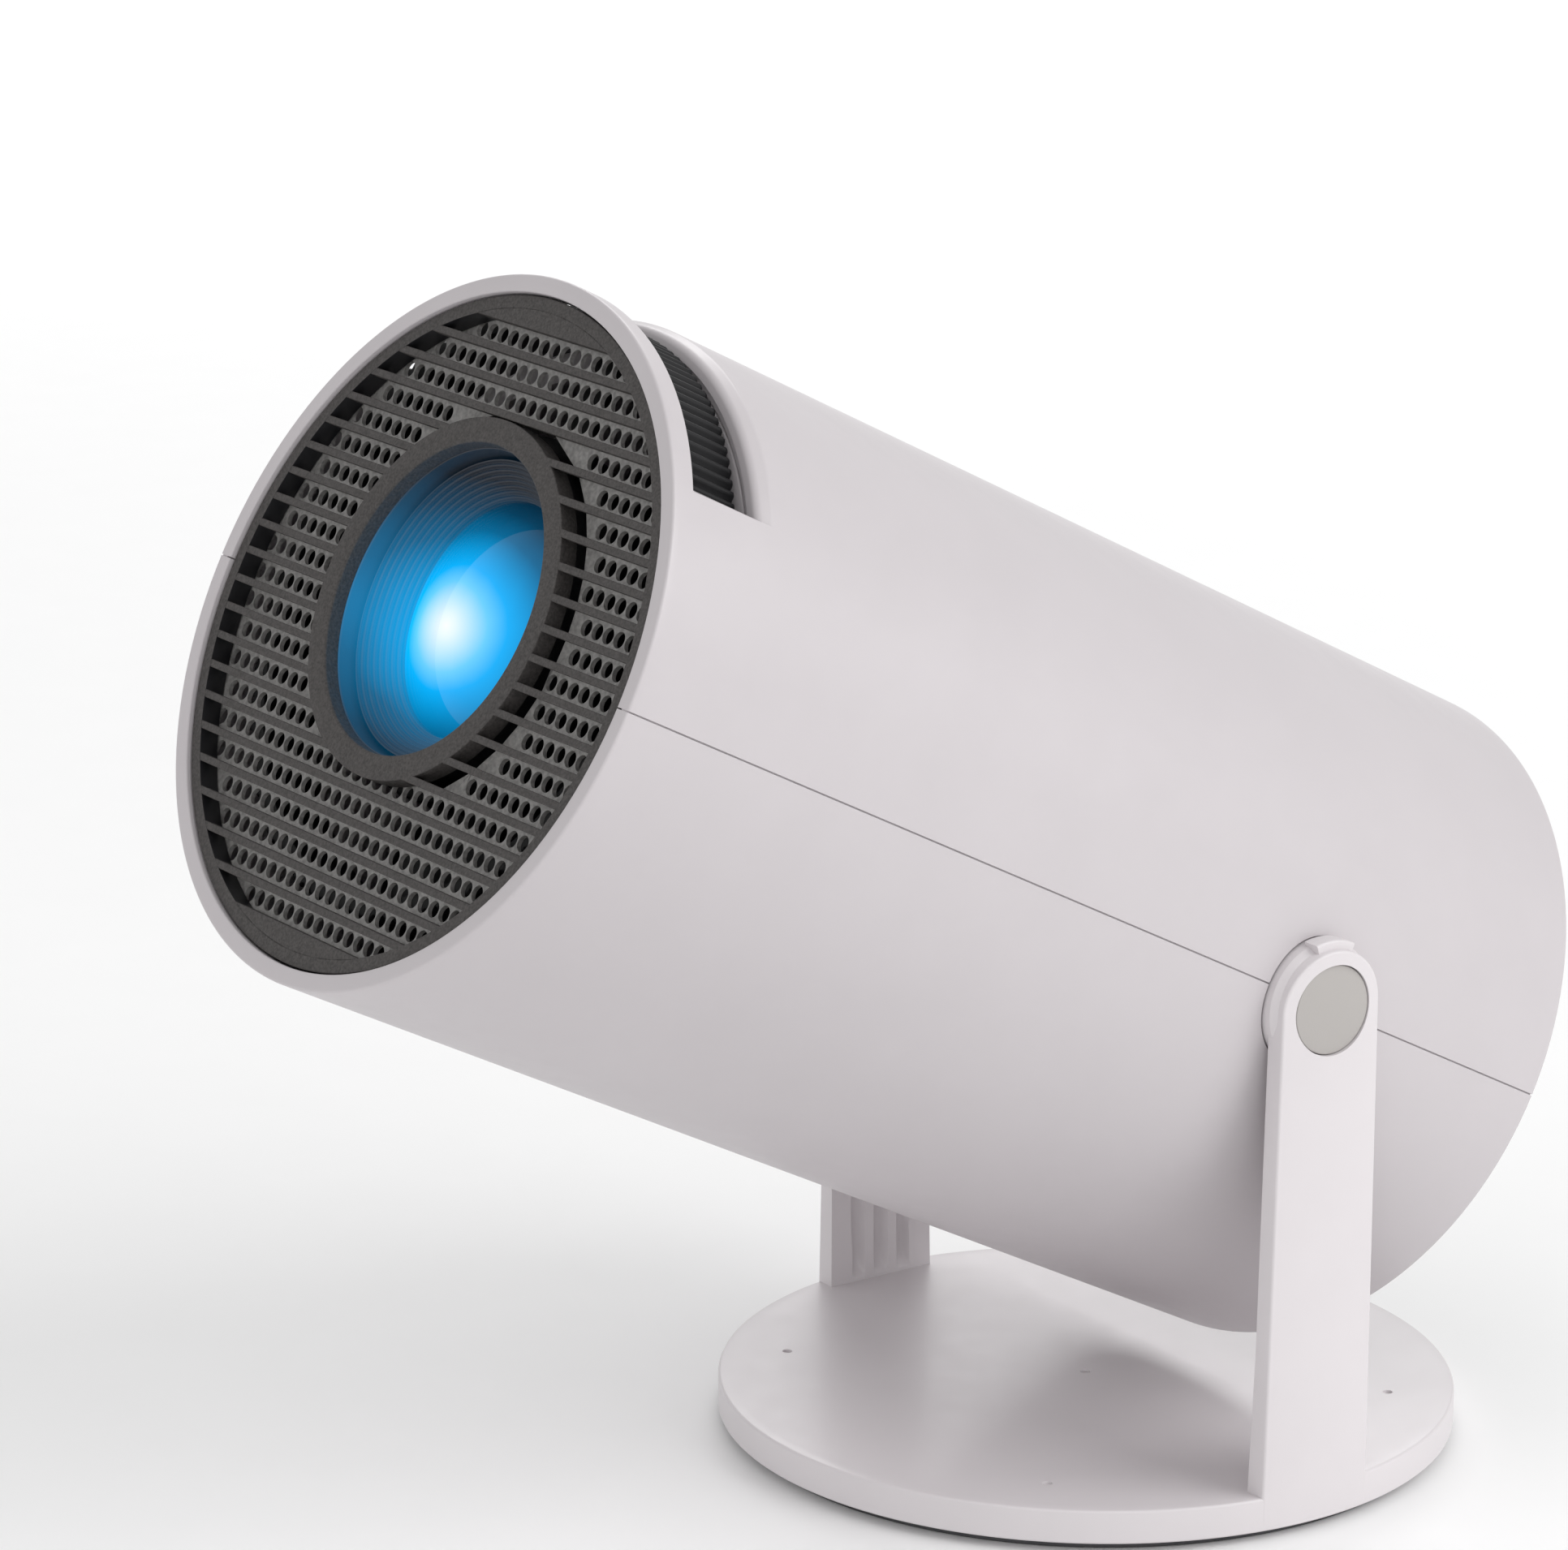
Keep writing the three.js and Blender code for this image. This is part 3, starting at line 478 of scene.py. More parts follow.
def add_painted_glow(finish, strength):
    """Painted light as emission: white at the lamp's place in the lens, then the glow colour, then dark.

    It falls with the distance from that place, more slowly across and along the lens than up and down, and a
    slow noise breaks it up. It stays on the surface from every side.
    """
    glow = bpy.context.scene.projector_colours.glow
    fade = tuple((place, [share * channel for channel in glow]) for place, share in PAINTED_GLOW_FADE)
    x, depth, z = PAINTED_GLOW_CORE
    core = tuple(head_to_row(np.array([x, FRONT_Y + depth, z])))
    centre = finish.nodes.new("ShaderNodeMapping")
    centre.vector_type = "TEXTURE"  # moves to the core, turns to the head's axes, then divides by the scale
    finish.set(centre, Vector=finish.place, Location=core, Rotation=(-TILT, 0.0, 0.0), Scale=PAINTED_GLOW_REACH)
    distance = finish.calculate("VectorMath", "LENGTH", centre.outputs["Vector"])
    drift = finish.calculate("Math", "MULTIPLY_ADD", finish.noise(120.0), 0.04, distance)
    light = finish.ramp(drift, PAINTED_GLOW_WHITES + fade)
    finish.set(finish.shader, Emission_Color=light, Emission_Strength=strength)
    return finish.material


def lens_glass(name):
    """Coated glass with a painted glow, an emission that stands in for the lamp's light from within."""
    finish = Finish(name, (0.003, 0.01, 0.025), 0.04, Specular_IOR_Level=0.25)
    finish.vary_roughness(finish.noise(200.0), 0.03, 0.06)
    return add_painted_glow(finish, 1.0)


def painted_glow_baffle(name, colour, strength):
    """Dark satin plastic around the lens, with the lens's light on it painted as emission."""
    finish = Finish(name, colour, 0.34, Specular_IOR_Level=0.35)
    finish.mottle(finish.noise(60.0, 3.0), 0.2)
    finish.bump(finish.noise(2400.0), 0.5, 10)
    return add_painted_glow(finish, strength)


FINISHES = {}


def make_finishes():
    """Every finish by its slot in the record, and the extra ones that the fine pieces use.

    A moulded finish takes its roughness, its grain per metre and the grain's depth in micrometres, then how
    far its colour and its roughness drift. An etched one ends with the share of its painted highlight and shade.
    """
    shades = bpy.context.scene.projector_colours
    body, grille, black = shades.body, shades.grille, shades.black
    FINISHES.update(
        white_shell=moulded("white_shell", body, 0.36, 2600.0, 6, 0.012, 0.03),
        # The stand's colour is lighter than the body's: painted light on the disc and arms
        stand=moulded("stand", shades.stand, 0.44, 2600.0, 6, 0.012, 0.03,
                      Coat_Weight=0.2, Coat_Roughness=0.2),
        grille=etched("grille", grille, 0.6, 2600.0, 60, 0.35),
        mesh=etched("mesh", shades.plate, 0.42, 1500.0, 30, 0.25),
        black_plastic=moulded("black_plastic", black, 0.42, 1800.0, 20, 0.2),
        rubber_pad=moulded("rubber_pad", shades.pad, 0.8, 1400.0, 80, 0.12),
        pivot_cap=moulded("pivot_cap", shades.cap, 0.52, 2200.0, 20, 0.02),
        steel=metal("steel", (0.56, 0.57, 0.58), 0.32, (1.0, 1.0, 1.0), 1200.0),
        weight_steel=metal("weight_steel", (0.4, 0.41, 0.42), 0.42, (0.2, 6.0, 6.0)),
        heat_sink_aluminium=metal("heat_sink_aluminium", (0.7, 0.71, 0.73), 0.34, (6.0, 0.3, 6.0)),
        lens_glass=lens_glass("lens_glass"),
        clear_optics=moulded("clear_optics", (0.55, 0.6, 0.63), 0.08, 300.0, 10, 0.03, 0.03, Alpha=0.4),
        circuit_board=circuit_board("circuit_board", (0.02, 0.12, 0.05)),
        lamp=moulded("lamp", (0.9, 0.93, 1.0), 0.4, 900.0, 30, 0.04),
        wheel=moulded("wheel", (0.011, 0.011, 0.012), 0.42, 2400.0, 20, 0.2, Specular_IOR_Level=0.22),
        # The baffle's emission is painted light from the lens
        baffle=painted_glow_baffle("baffle", (0.03, 0.03, 0.034), 0.85),
    )


# ---- Shells ----
SEAM_GROOVE = 0.45 * MM  # depth of the line that shows between the shells
POCKET_R = CAP_R + 3.15 * MM  # radius of the round opening that the arm's boss sits in


def fall(distance, radius):
    """How far a rounded edge lies below its surface at a distance from the edge: a quarter circle."""
    inside = np.clip(radius - distance, 0.0, radius)
    return radius - np.sqrt(np.maximum(radius**2 - inside**2, 0.0))


def near_edge(radius, steps=4):
    """Distances from an edge that follow its rounding, from 0 to the radius."""
    return radius * (1 - np.cos(np.linspace(0, math.pi / 2, steps + 1)))


def shell_solids(sizes, side):
    """One half of the tube, above (side 1) or below (side -1) the seam.

    The grid runs along the tube by depth and around it by angle. The angle starts at the seam's height,
    which rises to a half circle around the pivot, and the radius falls away in a quarter circle at each edge.
    The upper half leaves out the cells of the focus window, and a straight ramp falls to its rear edge.
    """
    rim, seam_round = sizes.rim_round, sizes.seam_round
    window_end = sizes.window_ramp + 1.0 * MM  # where the finer stations behind the window end
    edge = near_edge(rim)
    stations = [
        edge,
        sizes.window_front - edge,
        [sizes.window_front + 0.01 * MM],
        HINGE_DEPTH - POCKET_R * np.cos(np.linspace(0, math.pi, 41)),
        TUBE_LENGTH - edge,
        np.linspace(rim, sizes.window_front - rim, 4),
        sizes.window_rear + near_edge(sizes.ramp_round, 7),
        np.linspace(sizes.window_rear + sizes.ramp_round, window_end, 10)[1:],
        np.linspace(window_end, HINGE_DEPTH - POCKET_R, 40),
        np.linspace(HINGE_DEPTH + POCKET_R, TUBE_LENGTH - rim, 12),
    ]
    depth = np.unique(np.round(np.concatenate(stations), 8))
    half_gap = sizes.seam_gap / 2
    seam_height = np.sqrt(np.maximum(POCKET_R**2 - (depth - HINGE_DEPTH) ** 2, half_gap**2))

    low = sizes.window_angle
    high = math.pi - low
    beside_seam, beside_window = 0.035, 0.0004  # angles from the seam and the window's end to the next column
    first = np.concatenate([np.linspace(beside_seam, low - rim / TUBE_R, 14)[:-1], low - edge[::-1] / TUBE_R])
    middle = np.linspace(low + beside_window, high - beside_window, 60)
    turn = np.concatenate([first, middle, (math.pi - first)[::-1]])
    start_turn = math.asin(half_gap / TUBE_R)
    share = (turn - start_turn) / (math.pi - 2 * start_turn)
    ends = near_edge(seam_round)

    def window_falls(angle, d, radius):
        """The ramp behind the window, and the roundings along the window's front and its two ends."""
        open_turn = (angle > low) & (angle < high)
        beside = np.minimum(np.abs(angle - low), np.abs(angle - high)) * radius
        alongside = (d > sizes.window_front - EPSILON) & (d < sizes.window_rear + EPSILON)
        slope = np.clip((sizes.window_ramp - d) / (sizes.window_ramp - sizes.window_rear), 0, 1)
        ramp = sizes.window_drop * slope + fall(d - sizes.window_rear, sizes.ramp_round)
        front = fall(sizes.window_front - d, rim * 0.6)
        return (
            np.where(open_turn & (d <= sizes.window_front), front, 0)
            + np.where(~open_turn & alongside, fall(beside, rim * 0.5), 0)
            + np.where(open_turn & (d > sizes.window_rear - EPSILON), ramp, 0)
        )

    def sheet(radius, outside):
        start = np.arcsin(seam_height / radius)[:, None]
        body = start + ends[-1] / radius + (math.pi - 2 * (start + ends[-1] / radius)) * share[None, :]
        leading = start + ends[None, :-1] / radius
        angle = np.concatenate([leading, body, math.pi - leading[:, ::-1]], axis=1)
        d = depth[:, None] + 0 * angle
        if outside:
            gap = np.minimum(angle - start, math.pi - start - angle) * radius
            r = radius - fall(gap, seam_round) - fall(d, rim) - fall(TUBE_LENGTH - d, rim)
            if side > 0:
                r = r - window_falls(angle, d, radius)
        else:
            r = radius + fall(d, rim * 0.6)
        return np.stack([r * np.cos(angle), d + FRONT_Y, side * r * np.sin(angle)], axis=-1), angle

    outer, angle = sheet(TUBE_R, True)
    inner, _ = sheet(TUBE_R - sizes.wall, False)
    quads = grid_quads(*outer.shape[:2])
    if side > 0:
        middle_depth = (depth[:-1] + depth[1:]) / 2
        middle_angle = (angle[:-1, :-1] + angle[:-1, 1:]) / 2
        in_depth = (middle_depth > sizes.window_front) & (middle_depth < sizes.window_rear)
        quads = quads[~(in_depth[:, None] & (middle_angle > low) & (middle_angle < high))]
    points, faces = sheet_pair(outer.reshape(-1, 3), inner.reshape(-1, 3), quads.reshape(-1, 4))
    return [(head_to_row(points), faces)]


def pocket_floor(side_x, half):
    """Half of the ring behind the arm's boss, inside the tube, above (half 1) or below (half -1) the seam."""
    ring = outline_mm([(3.8, 44.6, 0), (12.6, 44.6, 0.5), (12.6, 50.2, 0), (3.8, 50.2, 0.3)], 3)
    skip = 0.02  # half of the angle left open between the halves
    turn = 0.0 if half > 0 else math.pi
    return turned_across(ring, side_x, 49, turn + skip - TILT, math.pi - 2 * skip)


def seam_tongues(sizes):
    """The lower shell's tongues, which close the seam from inside on both flanks, beside the pivot.

    Each is a strip whose section is a short arc under the tube's surface, carried along the tube.
    """
    under = TUBE_R - SEAM_GROOVE
    bottom = under - 1.2 * MM
    rise = sizes.seam_gap + 0.5 * MM
    inset = 0.15 * MM
    section = np.array([(under, -rise), (under, rise), (bottom, rise), (bottom, -rise)])
    x = np.sqrt(section[:, 0] ** 2 - section[:, 1] ** 2)
    spans = ((inset, HINGE_DEPTH - POCKET_R), (HINGE_DEPTH + POCKET_R, TUBE_LENGTH - inset))
    pairs = [(np.array(span)[:, None], flank) for span in spans for flank in (1, -1)]
    return [head_solid(x * flank, depth, section[:, 1]) for depth, flank in pairs]


def window_flange(sizes):
    """Two rings behind the focus wheel, a hair apart, that close the window's rear towards the inside."""
    front, back = sizes.window_rear + 0.7 * MM, sizes.window_rear + 2.0 * MM
    soft = 0.2 * MM
    seat = TUBE_R - sizes.wall
    low, split, beyond, high = 42.5 * MM, seat - 1.3 * MM, seat - 1.1 * MM, seat + 0.3 * MM
    inner = outline([(low, front, 0), (split, front, soft), (split, back, 0), (low, back, 0)], 3)
    outer = outline([(beyond, front, soft), (high, front, 0), (high, back, 0), (beyond, back, 0)], 3)
    start = sizes.window_angle - 0.1
    return [turned(shape, 120, 0.0, start, math.pi - 2 * start) for shape in (inner, outer)]


class PROJECTOR_OT_shells(bpy.types.Operator):
    """Upper and lower halves of the white tube"""

    bl_idname = "projector.shells"
    bl_label = "Shells"

    def execute(self, context):
        sizes = context.scene.projector_sizes
        for side, node in ((1, "upper_shell"), (-1, "lower_shell")):
            solids = shell_solids(sizes, side)
            solids += [pocket_floor(side_x, side) for side_x in (1, -1)]
            solids += window_flange(sizes) if side > 0 else seam_tongues(sizes)
            make_piece(f"{node}_skin", solids, FINISHES["white_shell"], "head", [node])
        return {"FINISHED"}


# ---- Front grille and the perforated plate ----
SLOTS_EACH_WAY = 10  # slots above the middle one, and below it


def bar_solid(section, left, right):
    """A bar along X with a closed section of (z, depth): each point runs from left(z) to right(z)."""
    z, depth = section[:, 0], section[:, 1]
    share = np.linspace(0, 1, 3)[:, None]
    return head_solid(left(z) * (1 - share) + right(z) * share, depth, z)


def bar_pair(section, inner, outer):
    """Two bars that mirror each other: one runs from inner(z) to outer(z) on the right."""
    return [bar_solid(section, lambda z: -outer(z), lambda z: -inner(z)), bar_solid(section, inner, outer)]


def chord(radius, height=0.0):
    """Half of the chord of a circle at height z, or nothing where z passes over the circle."""
    return lambda z: np.sqrt(np.maximum(radius**2 - (z - height) ** 2, 0.0))


def level(value):
    """The same half width at every height."""
    return lambda z: value + 0 * z


def bar_section(low, high, front, back, soft):
    """A bar's section of (z, depth), with its two front edges rounded."""
    return outline([(low, front, soft), (high, front, soft), (high, back, 0), (low, back, 0)], 3)


def segment_solid(radius, height, front, back, soft):
    """The part of a disc beyond a chord at that height, above or below the middle, its chord edge rounded.

    Each section is the chord's two ends joined by the circle's arc, and the sections follow each other in
    depth while the chord moves by the rounding's fall.
    """
    sign = math.copysign(1.0, height)
    steps = np.concatenate([near_edge(soft), [back - front]])
    chords = abs(height) + fall(steps, soft)
    start = np.arcsin(chords / radius)[:, None]
    angle = start + (math.pi - 2 * start) * np.linspace(0, 1, 48)[None]
    return head_solid(radius * np.cos(angle), front + steps[:, None], sign * radius * np.sin(angle))


class PROJECTOR_OT_front(bpy.types.Operator):
    """Slotted grille with the ring around the lens"""

    bl_idname = "projector.front"
    bl_label = "Front grille"

    def execute(self, context):
        sizes = context.scene.projector_sizes
        front, back = GRILLE_LOW[1] - FRONT_Y, GRILLE_HIGH[1] - FRONT_Y
        soft, overlap = 0.16 * MM, 0.2 * MM
        reach = PANEL_R - 2.0 * MM
        skirt, ring_back = back + 1.1 * MM, back + 0.9 * MM
        rim = outline([(reach, front, 0), (PANEL_R, front, soft), (PANEL_R, skirt, 0), (reach, skirt, 0)])
        ring = outline([(sizes.ring_in, front, 0.35 * MM), (sizes.ring_out, front, soft),
                        (sizes.ring_out, ring_back, 0), (sizes.ring_in, ring_back, 0)])
        solids = [turned(rim, 256), turned(ring, 192, LENS_Z)]
        outer_end = chord(reach + overlap)
        inner_end = chord(sizes.ring_out - overlap, LENS_Z)
        half = sizes.bar_height / 2
        for row in range(SLOTS_EACH_WAY):
            for middle in ((row + 0.5) * sizes.slot_pitch, -(row + 0.5) * sizes.slot_pitch):
                low, high = middle - half, middle + half
                section = bar_section(low, high, front + 0.02 * MM, back, soft)
                if max(abs(low - LENS_Z), abs(high - LENS_Z)) < sizes.ring_out:
                    solids += bar_pair(section, inner_end, outer_end)
                else:
                    solids.append(bar_solid(section, lambda z: -outer_end(z), outer_end))
        edge = (SLOTS_EACH_WAY + 0.5) * sizes.slot_pitch - half
        for height in (edge, -edge):
            solids.append(segment_solid(reach + overlap / 2, height, front, back, soft))
        grille = make_piece("front_grille_fine", solids, FINISHES["grille"], "head", ["front_grille"])
        # Painted shade: the skirt's faces deeper than 0.9 mm behind the front take black plastic, standing in for
        # the shadow inside the rim
        paint(grille, FINISHES["black_plastic"],
              lambda x, depth, z: (np.hypot(x, z) > reach - overlap / 2) & (depth > front + 0.9 * MM))
        return {"FINISHED"}


def perforated_cells(middle, pitch, half_height, centres, hole, front, back):
    """A strip of cells along X, each with a round hole through it, as one solid.

    Each cell is a grid of four loops: its border and the hole at the front, and the hole and the border at
    the back. A border point is where a ray from the hole's centre leaves the cell.
    """
    count = 24
    angle = np.linspace(0, 2 * math.pi, count, endpoint=False) + math.pi / count
    ray = np.stack([np.cos(angle), np.sin(angle)], axis=-1)
    reach = np.min(np.array([pitch / 2, half_height]) / np.maximum(np.abs(ray), EPSILON), axis=1)
    border, rim = ray * reach[:, None], ray * hole
    loops = np.stack([border, rim, rim, border])
    x = centres[:, None, None] + loops[..., 0]
    depth = np.array([front, front, back, back])[:, None] + FRONT_Y
    points = gather(x, depth, loops[..., 1] + middle)
    quads = grid_quads(len(loops), count, close_columns=True).reshape(-1, 4)
    starts = np.arange(len(centres))[:, None, None] * len(loops) * count
    return head_to_row(points.reshape(-1, 3)), [(quads + starts).reshape(-1, 4)]


class PROJECTOR_OT_plate(bpy.types.Operator):
    """Perforated plate behind the front grille"""

    bl_idname = "projector.plate"
    bl_label = "Perforated plate"

    def execute(self, context):
        sizes = context.scene.projector_sizes
        front, back = MESH_LOW[1] - FRONT_Y, MESH_HIGH[1] - FRONT_Y
        pitch, tall = sizes.hole_pitch, sizes.slot_pitch
        edge, opening = TUBE_R - sizes.wall - 0.2 * MM, 28.0 * MM
        rim, hub = chord(edge), chord(opening, LENS_Z)
        solids = []
        for row in range(-SLOTS_EACH_WAY, SLOTS_EACH_WAY + 1):
            middle = row * tall
            low, high = middle - tall / 2, middle + tall / 2
            section = bar_section(low, high, front, back, 0)
            last = math.floor((min(rim(low), rim(high)) - 0.1 * MM) / pitch - 0.5)
            centres = np.arange(-last, last + 1) * pitch
            if max(abs(low - LENS_Z), abs(high - LENS_Z)) < opening:
                widest = opening if low < LENS_Z < high else max(hub(low), hub(high))
                first = math.ceil(widest / pitch + 0.25)
                centres = centres[np.abs(centres) > (first - 0.5) * pitch]
                solids += bar_pair(section, hub, level((first - 0.5) * pitch))
            solids.append(perforated_cells(middle, pitch, tall / 2, centres, sizes.hole_radius, front, back))
            solids += bar_pair(section, level((last + 0.5) * pitch), rim)
        make_piece("perforated_plate", solids, FINISHES["mesh"], "head", ["mesh_plate"])
        return {"FINISHED"}


# ---- Focus wheel and lens ----
def ribbed_tyre(ribs):
    """The wheel's outer ring: a rounded section turned about the lens, with a wave that cuts its outer part.

    The wave is a raised cosine of the angle, and it fades towards the inner wall with the fourth power of
    the distance from it.
    """
    front, back = WHEEL_LOW[1] - FRONT_Y, WHEEL_HIGH[1] - FRONT_Y
    inside, groove = WHEEL_R - 3.5 * MM, 0.85 * MM
    soft_in, soft_out = 0.2 * MM, 0.7 * MM
    shape = outline([(inside, front, soft_in), (WHEEL_R, front, soft_out), (WHEEL_R, back, soft_out),
                     (inside, back, soft_in)], 5)
    angle, _ = turn_angles(ribs * 8)
    wave = 0.5 - 0.5 * np.cos(angle * ribs)
    weight = np.clip((shape[:, 0] - inside) / (WHEEL_R - inside), 0, 1) ** 4
    radius = shape[:, 0] - groove * weight * wave**1.4
    return head_solid(radius * np.cos(angle), shape[:, 1], radius * np.sin(angle) + LENS_Z, closed=True)


def wheel_spoke(turn):
    """A straight bar from the hub to the ring, turned about the lens."""
    wide, front, back, soft = 2.5, 12.6, 15.2, 0.4
    section = outline_mm([(-wide, front, soft), (wide, front, soft), (wide, back, soft), (-wide, back, soft)],
                         3)
    along = np.linspace(26 * MM, 42 * MM, 4)[:, None]
    across = section[:, 0]
    x = along * math.cos(turn) - across * math.sin(turn)
    z = along * math.sin(turn) + across * math.cos(turn) + LENS_Z
    return head_solid(x, section[:, 1], z)


class PROJECTOR_OT_wheel(bpy.types.Operator):
    """Ribbed focus wheel with its hub and spokes"""

    bl_idname = "projector.wheel"
    bl_label = "Focus wheel"

    def execute(self, context):
        sizes = context.scene.projector_sizes
        hub = outline_mm([(24.4, 9, 0.3), (26.8, 9, 0.3), (26.8, 15.4, 0.3), (24.4, 15.4, 0.3)], 3)
        solids = [ribbed_tyre(sizes.ribs), turned(hub, 96, LENS_Z)]
        solids += [wheel_spoke(math.radians(-30 - 120 * spoke)) for spoke in range(3)]
        make_piece("focus_wheel_fine", solids, FINISHES["wheel"], "focus_wheel", ["focus_wheel"],
                   50.0)
        return {"FINISHED"}


def ribbed_funnel(wide, narrow, front, back, ribs, height):
    """Points of (radius, depth) down a cone whose wall carries round ribs.

    The wall runs straight from the wide end to the narrow one, and each rib stands on it as the fourth
    power of a sine, so the ribs are narrow and the valleys wide.
    """
    share = np.linspace(0, 1, ribs * 10 + 1)
    wall = np.stack([wide + (narrow - wide) * share, front + (back - front) * share], -1)
    along = wall[-1] - wall[0]
    inward = np.array([-along[1], along[0]]) / np.linalg.norm(along)
    return wall + inward * (height * np.sin(math.pi * ribs * share) ** 4)[:, None]


class PROJECTOR_OT_lens(bpy.types.Operator):
    """Lens barrel, sliding cell with its stepped rings, and the two lenses"""

    bl_idname = "projector.lens"
    bl_label = "Lens"

    def execute(self, context):
        guide = outline_mm([(22.5, 3, 0.2), (24.1, 3, 0.2), (24.1, 43.4, 0), (31, 43.4, 0.3), (31, 45.8, 0.3),
                            (22.5, 45.8, 0)])
        barrel = make_piece("lens_barrel", [turned(guide, 192, LENS_Z)], FINISHES["black_plastic"], "head",
                            ["lens_guide"])
        # The guide's inside takes the baffle finish, whose emission is painted light from the lens
        paint(barrel, FINISHES["baffle"], lambda x, depth, z: np.hypot(x, z - LENS_Z) < 22.8 * MM)
        mouth_r, mouth, seat_r, seat, back = 21.9, 5.6, 17.4, 10.6, 40
        body = outline_mm([(seat_r, 15.4, 0), (12.4, 15.4, 0), (12.4, back, 0), (22.1, back, 0),
                           (22.1, mouth, 0.15)], 3)
        funnel = ribbed_funnel(mouth_r * MM, seat_r * MM, mouth * MM, seat * MM, 8, 0.34 * MM)
        cell = np.concatenate([funnel, body])
        # The cell's ribs carry painted light from the lens through the baffle finish
        make_piece("lens_cell_fine", [turned(cell, 192, LENS_Z)], FINISHES["baffle"], "lens_cell",
                   ["lens_cell"], 70.0)
        self.make_lens("front_lens_fine", "front_lens", 17.3, 10.7, 6.5, 15.2)
        self.make_lens("rear_lens_fine", "rear_lens", 11.9, 33.0, 31.4, 38.0)
        return {"FINISHED"}

    def make_lens(self, name, node, radius, rim, front, back):
        """A lens whose faces are spherical caps: each rises from the rim with the square of the radius."""
        across = np.linspace(0, 1, 24)
        face_in = np.stack([radius * across, front + (rim - front) * across**2], -1)
        face_out = np.stack([radius * across[::-1], back - (back - rim - 1.2) * across[::-1] ** 2], -1)
        shape = np.concatenate([face_in, face_out]) * MM
        solid = turned(shape, 128, LENS_Z)
        make_piece(name, [solid], FINISHES["lens_glass"], "lens_cell", [node])


# ---- Stand ----
DIAGONALS = [math.radians(45 + 90 * quarter) for quarter in range(4)]
FIXING_R = 46.3 * MM
DIMPLE_R = 0.75 * MM
DIMPLE_DEEP = 0.5 * MM
DIMPLE = np.array([
    (DIMPLE_R + 0.22 * MM, 0.0), (DIMPLE_R + 0.08 * MM, 0.0), (DIMPLE_R, 0.03 * MM),
    (DIMPLE_R * 0.97, 0.12 * MM), (DIMPLE_R * 0.94, DIMPLE_DEEP * 0.8), (DIMPLE_R * 0.5, DIMPLE_DEEP),
    (0.0, DIMPLE_DEEP),
])  # radius and depth of a dimple's section, from its rim to its middle


def dimple_tile(corners, centre, top):
    """A flat cell with a small round dimple: loops run from the cell's border to the dimple's floor."""
    per_side = 6
    share = np.arange(per_side)[:, None] / per_side
    ring = np.concatenate([corners[i] * (1 - share) + corners[(i + 1) % 4] * share for i in range(4)])
    away = ring - centre
    angle = np.arctan2(away[:, 1], away[:, 0])[:, None]
    unit = np.concatenate([np.cos(angle), np.sin(angle)], axis=1)
    radii, drops = DIMPLE[:, 0], DIMPLE[:, 1]
    loops = np.concatenate([ring[None], centre + unit[None] * radii[:, None, None]])
    heights = np.concatenate([[top], top - drops])[:, None] + 0 * loops[..., 0]
    points = np.concatenate([loops, heights[..., None]], axis=-1)
    return points.reshape(-1, 3), [grid_quads(*loops.shape[:2], close_columns=True).reshape(-1, 4)]


def disc_solids(sizes):
    """The base disc: a section turned about the upright axis, with five small dimples in its top face.

    The section runs from the middle dimple over the top face and its rounded border, down the side, and back
    under the top to the axis. Four cells of the top face make room for the other dimples.
    """
    top, low = sizes.base_top, BASE_LOW
    tile, soft, chamfer = 1.5 * MM, 0.45 * MM, 0.25 * MM
    rim_in, under_top = BASE_R - 3.2 * MM, top - 2 * MM
    half_tile = tile / FIXING_R
    diagonals = np.array(DIAGONALS)[:, None]
    regular = turn_angles(240)[0]
    clear = np.min(np.abs(regular - diagonals.T), axis=1) > half_tile * 1.3
    angle = np.sort(np.concatenate([regular[clear], diagonals - half_tile, diagonals + half_tile]).ravel())
    flat_r = np.concatenate([np.linspace(4, 40, 5) * MM, [FIXING_R - tile, FIXING_R + tile, BASE_R - 2 * MM]])
    edge = near_edge(soft)[::-1]
    lower = [(BASE_R, low + chamfer), (BASE_R - chamfer, low), (rim_in, low), (rim_in, under_top)]
    radius, z = np.concatenate([
        np.stack([DIMPLE[::-1, 0], top - DIMPLE[::-1, 1]], axis=-1),
        np.stack([flat_r, np.full_like(flat_r, top)], axis=-1),
        np.stack([BASE_R - edge, top - fall(edge, soft)], axis=-1),
        lower,
        [(0.0, under_top)],
    ]).T[..., None]
    points = gather(radius * np.cos(angle), radius * np.sin(angle), z)
    quads = grid_quads(len(radius), len(angle), close_columns=True)
    row = len(DIMPLE) + int(np.searchsorted(flat_r, FIXING_R)) - 1
    columns = [int(np.argmin(np.abs(angle - (diagonal - half_tile)))) for diagonal in DIAGONALS]
    keep = np.ones(quads.shape[:2], bool)
    keep[row, columns] = False
    solids = [(points.reshape(-1, 3), [quads[keep]])]
    for column, diagonal in zip(columns, DIAGONALS):
        corners = points.reshape(-1, 3)[quads[row, column]][:, :2]
        middle = FIXING_R * np.array([math.cos(diagonal), math.sin(diagonal)])
        solids.append(dimple_tile(corners, middle, top))
    return solids


